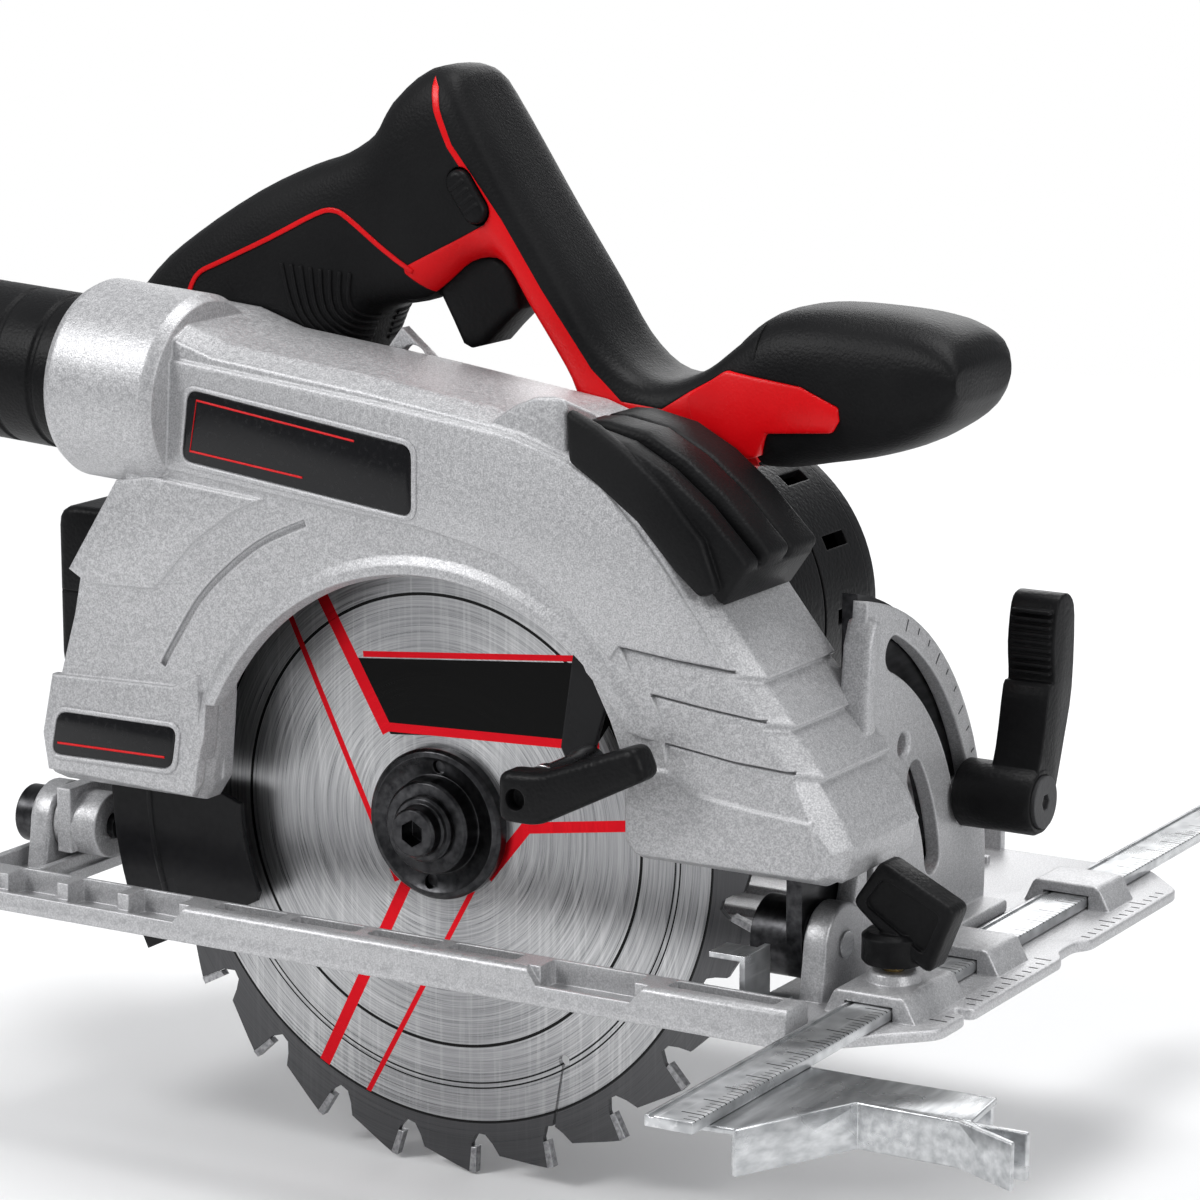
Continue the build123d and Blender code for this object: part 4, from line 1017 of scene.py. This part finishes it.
def battery_mount():
    """Foot under the handle, with rails for the battery and louvres beside the motor."""
    top = prism(rounded([(-118, 24), (-16, 24), (-16, 112), (-118, 112)], 7, 4), 98.5, 112.8, "z")
    soften(top, 3.0, 4, 50, at_level("z", 112.8))
    body = plus(top, soften(block((-70, -20), (52, 112), (60, 100)), 1.6, 3, 50),
                soften(block((-118, -62), (30, 39.4), (80, 100)), 1.2, 2, 50))
    louvres = [block((-58, -30), (110.8, 114), (z, z + 1.8))
               for z in (66, 70.4, 74.8, 79.2, 83.6, 88)]
    panel = less(block((-110, -42), (57, 104), (112.0, 114)),
                 block((-108.8, -43.2), (58.2, 102.8), (110, 115)))
    gear_room = drum(44, 8, 50, SPINDLE)
    body = less(body, block((-130, -60), (39.4, 112.6), (43, 98.8)), clearance(0.3), gear_room,
                block((-100, -40), (50, 104), (101, 108)), block(*TERMINALS), panel,
                gathered(louvres))
    piece(body, "battery_foot", black, "head", "black_plastic", "battery_mount", sharp=40)


IDLER = (25.6326, 55.6326)             # x, z of the middle gear's axis
GEAR_SEATS = [                         # centre, outer radius, inner radius
    (SPINDLE, 25.6, 24.0), (IDLER, 18.0, 15.6), (MOTOR, 30.0, 8.0),
]
SHAFT_BORES = [                        # centre, radius, low and high end
    (SPINDLE, 9.2, 10, 20), (SPINDLE, 6.6, 30, 41), (SPINDLE, 11, 30, 37), (MOTOR, 11, 30, 38),
    (IDLER, 3.56, 15.2, 37.2), (MOTOR, 5, 30, 41),
]
LOCK_PIN = (24.2, SPINDLE[1] - 10)     # y, z of the spindle lock


def gear_case():
    """Cast case behind the guard with rounded shoulders, ribs and seats for the bearings."""
    shapes = [lathe([(0, 15), (r, 15), (r, 37), (r - 0.9, 39), (r - 3, 40), (0, 40)], centre)
              for centre, r, _ in GEAR_SEATS]
    web = soften(prism([(-25, 36), (-16, 84), (44, 66), (43, 50), (22, 17)], 15, 40), 1.6, 3, 40,
                 at_level("y", 40))
    case = plus(web, *shapes)
    for angle in (150, 195, 240):
        ends = [polar(SPINDLE, radius, angle) for radius in (12, 25.4)]
        case = plus(case, prism(strip_outline(ends, 2.2), 30, 39.6))
    room = [drum(r, 17.5, 31, centre) for centre, _, r in GEAR_SEATS]
    bores = [drum(r, low, high, centre, steps=48) for centre, r, low, high in SHAFT_BORES]
    lock = drum(3.06, 20, 60, LOCK_PIN, "x", 32)
    piece(less(case, *room, *bores, lock), "gear_casting", silver, "head", "cast_alloy",
          "gear_case", sharp=40)


def depth_lever():
    """Curved thumb lever on the depth bolt."""
    x, z = polar(DEPTH, DEPTH_BOLT_R, DEPTH_BOLT_AT)
    hub = lathe([(4.06, 20.2), (9, 20.2), (9, 26.8), (7.8, 28), (4.06, 28)], (x, z), closed=True)
    outline = rounded([(x - 8.4, z + 1), (x + 8.4, z + 1), (x + 4.6, z - 24), (x + 3.6, z - 42),
                       (x - 4.6, z - 42), (x - 5, z - 24)], 3.4, 5)
    arm = soften(prism(outline, 20.2, 27.4), 1.4, 3, 40)
    hole = drum(4.06, 15, 35, (x, z))
    piece(plus(less(arm, hole), hub), "depth_thumb_lever", black, "depth_lever", "black_plastic",
          "depth_lever", sharp=40)


# ---------------------------------------------------------------- levers and clamp
def bevel_lever():
    """Clamp lever with a round hub, a leaning arm and a ribbed thumb pad."""
    y, z = polar(BEVEL, BEVEL_SLOT_R, BEVEL_REST)
    hub = lathe([(4.1, 118), (8.4, 118), (9, 118.8), (9, 138.6), (8.2, 140), (7.1, 140),
                 (7.0, 138.5), (4.1, 138.5)], (y, z), "x", closed=True)
    side = [(y - 6, z + 2), (y - 0.5, z + 13), (y + 3.4, z + 29), (y + 6.4, z + 30.4),
            (y + 5.6, z + 40), (y + 7.4, z + 50), (y + 11, z + 52.6), (y + 15.6, z + 51.6),
            (y + 18.3, z + 46), (y + 17.6, z + 27), (y + 13.5, z + 14), (y + 9, z + 2)]
    arm = prism(smooth_line(side, 3), 126.5, 139.8, "x")
    soften(arm, 1.5, 3, 40)
    ribs = [soften(prism([(y + 4.9, z + h), (y + 8, z + h), (y + 8, z + h + 1.0),
                          (y + 4.9, z + h + 1.0)], 127.6, 138.8, "x"), 0.35, 2, 30)
            for h in range(32, 49, 2)]
    arm = less(arm, drum(7.6, 110, 141, (y, z), "x"))
    lever = plus(plus(arm, hub), gathered(ribs))
    piece(lever, "bevel_lever_arm", black, "bevel_lever", "black_plastic", "bevel_lever", sharp=40)


def clamp_knob():
    """Thumb tab of the fence clamp on its round boss."""
    y = CLAMP[1]
    tab = rounded([(124.9, 28.5), (132.8, 40.3), (153.3, 30.2), (146.5, 13.1), (136, 19)], 2.4, 4)
    knob = soften(prism(tab, y - 4.5, y + 4.5), 1.5, 3, 50)
    dish = prism(rounded([(128.4, 28.6), (133.6, 36), (149.4, 28.6), (144.8, 18)], 2, 4),
                 y - 6, y - 3.3)
    knob = less(knob, dish)
    boss = lathe([(2.5, 14), (7.4, 14), (8, 14.8), (8, 20.8), (6.6, 22), (2.5, 22)], CLAMP, "z",
                 closed=True)
    piece(plus(knob, boss), "fence_clamp_tab", black, "fence_clamp", "black_plastic", "fence_knob",
          sharp=40)
    thread = [(0, BAR_Z[1] + 0.1)]
    z = BAR_Z[1] + 0.1
    while z < 18.4:
        thread += [(2.1, z), (2.48, z + 0.3), (2.1, z + 0.62)]
        z += 0.66
    piece(lathe(thread + [(0, 18.8)], CLAMP, "z", 32), "clamp_screw", brass, "fence_clamp",
          "brass_plate", "fence_screw", sharp=20)


# ---------------------------------------------------------------- base and fence
BASE_X, BASE_Y, BASE_T = (-133.0, 154.0), (-44.0, 141.0), 3.0
SLOT_X, SLOT_Y = (-113.0, 104.0), (-31.5, 18.6)
GUARD_NOTCH = ((-106.0, -46.0), (10.0, 31.5))
HATS = ((-19, 9), (28, 46), (96, 112))


def near_rail():
    """Deep rail along the blade side, with open pockets and narrow channels in its top."""
    rail = prism([(BASE_Y[0], 0.6), (BASE_Y[0] + 0.5, 8.6), (BASE_Y[0] + 1.8, 9.6),
                  (SLOT_Y[0] - 1.4, 9.6), (SLOT_Y[0], 8.4), (SLOT_Y[0], 0.6)], -130, 125, "x")
    soften(rail, 0.6, 2, 30)
    deep, shallow = ((-42.4, -34.2), (3.4, 12)), ((-39.6, -34.2), (4.6, 12))
    pockets = [block((x, x + 16.5), *deep) for x in (-112, -92, -72)]
    pockets += [block((x, x + 20.5), *shallow) for x in (-46, -22, 2, 26)]
    pockets += [block((55, 82), *deep), block((90, 120), *shallow)]
    dips = [prism([(x0, 12), (x0 + 5, 5.2), (x1 - 6, 5.2), (x1, 12)], BASE_Y[0] - 1, -41.2)
            for x0, x1 in ((-120, -50), (50, 88))]
    for pocket in pockets:
        soften(pocket, 1.2, 2, 30, lambda edge: edge.verts[0].co.z != edge.verts[1].co.z)
    return less(rail, gathered(pockets), gathered(dips))


def bevel_lug(x0, x1):
    """Upright ear with a round top for a bevel pin."""
    y, z = BEVEL
    side = [(y - 13, 1), (y - 11, z - 3), *arc(BEVEL, 10.6, 180, 0, 16),
            (y + 11, z - 3), (y + 13, 1)]
    ear = soften(prism(side, x0, x1, "x"), 0.9, 3, 40)
    return less(ear, drum(3.5, x0 - 1, x1 + 1, BEVEL, "x", 40))


def base_plate():
    """Cast base with its rails, ribs, fence straps and bevel lugs."""
    x0, x1 = BASE_X
    y0, y1 = BASE_Y
    corners = [(x0, y0), (128, y0), (x1, -18), (x1, -4), (x1 - 5, -4), (x1 - 5, 0), (x1, 0),
               (x1, 52), (x1 - 3, 56), (x1 - 3, 66), (x1, 70), (x1, 126), (140, y1), (x0, y1)]
    plate = soften(prism(rounded(corners, 3, 3), 0, BASE_T, "z"), 0.7, 2, 60)
    plate = less(plate, block(SLOT_X, SLOT_Y, (-1, 5)), block(*GUARD_NOTCH, (-1, 5)))
    plate = plus(plate, near_rail())
    walls = [block((x0 + 2, 96), (y1 - 3, y1 - 0.2), (1, 9.5)),
             block((x0 + 0.2, x0 + 3), (y0 + 3, y1 - 3), (1, 7.5)),
             block((SLOT_X[0] - 4, SLOT_X[0] - 1.5), (y0 + 11, 60), (1, 6.4))]
    walls += [block((x0 + 2, 99), (y - 1, y + 1), (1, 5.2)) for y in (45, 65, 85, 105, 124)]
    walls += [block((x - 1, x + 1), (45, y1 - 2), (1, 5.2)) for x in (-70, -20, 30, 80)]
    for wall in walls:
        plate = plus(plate, soften(wall, 0.5, 2, 30))
    for low, high in HATS:
        strap = prism([(121.5, 1), (125, 8.6), (126.2, 9.3), (143.0, 9.3), (144.4, 8.6),
                       (148.5, 1)], low, high)
        plate = plus(plate, soften(strap, 0.7, 3, 25))
    boss = lathe([(0, 6), (7.4, 6), (6.6, 9.6), (6.0, 11.6), (5.4, 12), (0, 12)], CLAMP, "z")
    plate = plus(plate, boss, bevel_lug(113, 119.6), bevel_lug(-127, -120.4))
    plate = less(plate, block((BAR_X[0] - 0.3, BAR_X[1] + 0.3), (y0 - 5, y1 + 5), (BASE_T, 6.6)),
                 drum(2.9, 5, 13, CLAMP, "z", 40))
    clips = gathered([block((x, x + 8), (123.5, 132.5), (BASE_T - 1, 11)) for x in (-90, -50)])
    clips = less(clips, block((-110, -30), (124.8, 131.2), (3.7, 9.9)))
    plate = plus(plate, clips)
    piece(plate, "base_casting", base_silver, "base", "base_alloy", "base_plate", sharp=30)
    ticks = []
    for k in range(34):
        y = -12 + 4 * k
        if 50 < y < 72 or -5 < y < 1:
            continue
        reach = 4.6 if k % 5 == 0 else 2.4
        ticks.append(block((152.6 - reach, 152.6), (y - 0.25, y + 0.25),
                           (BASE_T - 0.2, BASE_T + 0.06)))
    piece(gathered(ticks), "base_scale", black_steel, "base", "black_steel")


def bevel_quadrant():
    """Upright sector with two curved slots, a screw hole, a thick rear edge and scale marks."""
    side = [(18, 3), (18, 12), (8, 40), (8, 74), (9.6, 88), (12.4, 94.4),
            *arc(BEVEL, 85, 80, -7.0, 24)]
    plate = prism([(y, max(z, 3.0)) for y, z in side], 113, 117, "x")
    edge_rib = prism([(8, 40), (8, 74), (9.6, 88), (12.4, 94.4), (16.4, 93.4), (14.6, 84),
                      (13.4, 72), (13.4, 40)], 111.6, 119.6, "x")
    plate = plus(plate, soften(edge_rib, 1.2, 3, 25))
    foot = soften(block((113, 124), (24, 83), (3, 6.5)), 1.0, 3, 30)
    gusset = prism([(4, 3), (4, 20), (12, 44), (16, 44), (24, 3)], 112.6, 118.2, "x")
    plate = plus(plate, foot, soften(gusset, 1.0, 2, 30))
    slots = [(BEVEL_SLOT_R, 9.4, BEVEL_REST - 4, BEVEL_REST + 48), (54, 9, 10, 38)]
    for radius, width, start, end in slots:
        middle = arc(BEVEL, radius, start, end, 24)
        plate = less(plate, prism(strip_outline(middle, width), 105, 125, "x"),
                     *(drum(width / 2, 105, 125, polar(BEVEL, radius, angle), "x", 32)
                       for angle in (start, end)))
    plate = less(plate, lathe([(0, 105), (3, 105), (3, 116), (4, 117.2), (4, 125), (0, 125)],
                              polar(BEVEL, 56, 50), "x", 32),
                 drum(3.6, 100, 130, BEVEL, "x", 32), drum(22.6, 11.8, 15.6, DEPTH))
    piece(plate, "quadrant_casting", silver, "base", "cast_alloy", "bevel_quadrant", sharp=30)
    ticks = []
    for k in range(10):
        angle = BEVEL_REST + 5 * k
        reach = 3.2 if k % 3 == 0 else 1.8
        inner, outer = polar(BEVEL, 84.0 - reach, angle), polar(BEVEL, 84.0, angle)
        ticks.append(prism(strip_outline([inner, outer], 0.5), 116.8, 117.06, "x"))
    piece(gathered(ticks), "quadrant_scale", black_steel, "base", "black_steel")


def fence():
    """Flat bar with a rolled groove, on a folded foot."""
    bar = soften(block(BAR_X, BAR_Y, BAR_Z), 0.5, 2, 40)
    bar = less(bar, block((129.6, 131.0), (BAR_Y[0] - 1, BAR_Y[1] + 1), (5.8, 7)))
    piece(bar, "fence_rail", zinc, "fence", "zinc_plate", "fence_bar")
    sheet = prism([(129, -110), (147, -108), (162, -77), (190, -76), (188, -58), (148, -60),
                   (129, -63)], 1.6, 3.3, "z")
    front = prism([(147.4, -108.6), (162.4, -77.4), (160.6, -76.4), (145.6, -107.6)], -8, 3.3, "z")
    rear = soften(block((129, 188), (-61.2, -59.6), (-8, 3.3)), 0.5, 2, 40)
    edge = soften(block((160.6, 204.6), (-77.8, -76), (-8, 3.3)), 0.5, 2, 40)
    toe = soften(prism([(186, -77), (204.4, -85.8), (204.5, -84), (187, -75.4)], -8, 3.3, "z"),
                 0.4, 2, 40)
    foot = plus(soften(sheet, 0.5, 2, 40), soften(front, 0.4, 2, 40), rear, edge, toe)
    piece(foot, "fence_foot_sheet", foot_zinc, "fence", "zinc_plate", "fence_foot", sharp=30)


# ---------------------------------------------------------------- blade hardware
def flanges():
    """Dished outer flange with two pin holes, and the hex-socket bolt."""
    flange = lathe([(4.0, -0.8), (20.2, -0.8), (20.2, -3.6), (19.4, -4.6), (18.2, -5.0),
                    (17.0, -4.2), (13.2, -3.4), (12.6, -4.4), (12.5, -7.8), (11.8, -8.6),
                    (4.0, -8.6)], SPINDLE,
                   steps=96, closed=True)
    holes = [rod(polar(SPINDLE, 15.6, angle), 1.9, -6, -2.2, ease=0.1) for angle in (85, 265)]
    piece(less(flange, *holes), "clamp_flange", black_steel, "spindle", "black_steel",
          "outer_flange", sharp=30)
    bolt = lathe([(0, 22), (4, 22), (4, -8.6), (8.8, -8.6), (8.8, -9.9), (8.1, -10.6),
                  (7.0, -10.6), (6.6, -11.2), (6.6, -14.2), (6.0, -15), (0, -15)],
                 SPINDLE, steps=64)
    socket = prism([polar(SPINDLE, 3.6, 30 + 60 * k) for k in range(6)], -16, -10)
    piece(less(bolt, socket), "blade_screw", black_steel, "spindle", "black_steel", "blade_bolt",
          sharp=30)


STEM = polar(SPINDLE, 56, 25)


def guard_lever():
    """Bright stem and black finger lever of the swinging guard."""
    stem = lathe([(0, -9.6), (5.0, -9.6), (5.0, -14), (4.4, -16), (4.4, -28), (4.9, -30),
                  (4.9, -33), (0, -33)], STEM, steps=48)
    piece(stem, "lever_stem", bright_steel, "lower_guard", "bright_steel", "guard_stem")
    x, z = STEM
    outline = rounded([(x - 8, z - 8.6), (x + 3, z - 8.6), (x + 34.6, z + 7.4), (x + 31, z + 15.4),
                       (x + 4, z + 5), (x - 8, z + 4.4)], 3.2, 5)
    bar = soften(prism(outline, -42, -33), 2.6, 4, 40)
    dish = rod((x - 2.6, z - 2.2), 2.8, -44, -38, ease=0.1)
    piece(less(bar, dish), "guard_finger_lever", black, "lower_guard", "black_plastic",
          "guard_lever", sharp=40)


def lower_guard():
    """Swinging guard: rolled rim, full back with a hub, and a moulded front lobe."""
    start, end = LOWER_ARC
    under_rim = arc(SPINDLE, LOWER_R - 0.5, start, end, 60)
    rim = prism(arc(SPINDLE, LOWER_R, start, end, 60) + arc(SPINDLE, LOWER_R - 2, end, start, 60),
                -9.6, 9.8)
    back = prism(under_rim + arc(SPINDLE, 29, end, start, 30), 8.2, 9.8)
    hub = lathe([(28.06, 8.2), (34, 8.2), (34, 9.8), (28.06, 9.8)], SPINDLE, closed=True)
    front = prism(under_rim + arc(SPINDLE, 82, end, start, 40), -9.6, -8.0)
    lobe = prism(arc(SPINDLE, LOWER_R - 0.5, end - 28, end, 14) + [polar(SPINDLE, 60, end)]
                 + arc(SPINDLE, 58, end - 2, end - 26, 8) + [polar(SPINDLE, 64, end - 28)],
                 -9.6, -8.0)
    ridge = prism(strip_outline(arc(SPINDLE, 88, start + 3, end - 3, 50), 1.4), -9.6 - 0.5, -9.0)
    tab = prism([polar(SPINDLE, 50, 17), polar(SPINDLE, 50, 33), polar(SPINDLE, 90, 57),
                 polar(SPINDLE, 97, 53), polar(SPINDLE, 84, 44)], -9.6, -8.0)
    guard = plus(rim, less(back, drum(30, 7, 11, SPINDLE)), hub, front,
                 lobe, tab, ridge)
    piece(guard, "swinging_guard", black_gloss, "lower_guard", "black_plastic", "lower_guard",
          sharp=30)


# ---------------------------------------------------------------- studio
CAMERA_PLACE, CAMERA_AIM = (0.57899, -0.94456, 0.31238), (0.04772, -0.0485, 0.09414)
CAMERA_LENS = 126.3556
FLOOR_SIZE = 1.5
LAMPS = [                              # name, place, size, power, aim
    ("key", (-1.1, -1.5, 1.5), 0.8, 30, (0.0, -0.05, 0.08)),
    ("fill", (1.9, -0.5, 0.8), 0.9, 14, (0.05, 0.0, 0.08)),
    ("top", (0.2, 0.3, 1.9), 0.9, 24, (0.0, 0.0, 0.1)),
    ("back", (-0.6, 1.8, 0.9), 1.2, 12, (0.0, 0.0, 0.1)),
]


def facing(obj, place, aim):
    """Put a lamp or a camera at a place and point it at another."""
    obj.location = place
    obj.rotation_euler = (Vector(aim) - Vector(place)).to_track_quat("-Z", "Y").to_euler()
    collection.objects.link(obj)
    return obj


def camera():
    lens = bpy.data.cameras.new("camera")
    lens.lens, lens.sensor_width = CAMERA_LENS, 36.0
    view = facing(bpy.data.objects.new("camera", lens), CAMERA_PLACE, CAMERA_AIM)
    bpy.context.scene.camera = view


def studio_floor():
    """Pale floor that fades out towards its edges."""
    grid = bmesh.new()
    low = cad_box[0][2] - 0.0004
    bmesh.ops.create_grid(grid, x_segments=1, y_segments=1, size=FLOOR_SIZE,
                          matrix=Matrix.Translation((0, 0, low)))
    floor = as_object(grid, "studio_floor")
    paper = Finish("studio_paper", roughness=0.75)
    paper.colour(paper.mix(paper.noise(3, 2), (0.84, 0.84, 0.845), (0.88, 0.88, 0.88)))
    x, y, _ = paper.split()
    reach = paper.math("ADD", paper.math("MULTIPLY", x, x), paper.math("MULTIPLY", y, y))
    paper.link(paper.span(reach, 0.5, 1.9, 1.0, 0.0), paper.shader.inputs["Alpha"])
    floor.data.materials.append(paper.material)


def studio_light():
    """White backdrop for the camera, a dimmer one for the light, and four soft lamps."""
    world = bpy.data.worlds.new("studio")
    world.use_nodes = True
    nodes, links = world.node_tree.nodes, world.node_tree.links
    ambient, backdrop = nodes["Background"], nodes.new("ShaderNodeBackground")
    ambient.inputs[0].default_value, ambient.inputs[1].default_value = (0.95, 0.97, 1, 1), 0.34
    backdrop.inputs[0].default_value, backdrop.inputs[1].default_value = (1, 1, 1, 1), 1.0
    seen, blend = nodes.new("ShaderNodeLightPath"), nodes.new("ShaderNodeMixShader")
    links.new(seen.outputs["Is Camera Ray"], blend.inputs[0])
    links.new(ambient.outputs[0], blend.inputs[1])
    links.new(backdrop.outputs[0], blend.inputs[2])
    links.new(blend.outputs[0], nodes["World Output"].inputs["Surface"])
    bpy.context.scene.world = world
    bpy.context.scene.view_settings.view_transform = "Standard"
    for name, place, size, power, aim in LAMPS:
        lamp = bpy.data.lights.new(name, "AREA")
        lamp.size, lamp.energy = size, power
        facing(bpy.data.objects.new(name, lamp), place, aim)


camera()
studio_floor()
studio_light()
paint_nodes()
upper_guard()
front_bumper()
badge_plates()
handle()
switches()
dust_adapter()
motor_shell()
battery_case()
battery_mount()
gear_case()
depth_lever()
bevel_lever()
clamp_knob()
base_plate()
bevel_quadrant()
fence()
flanges()
guard_lever()
lower_guard()
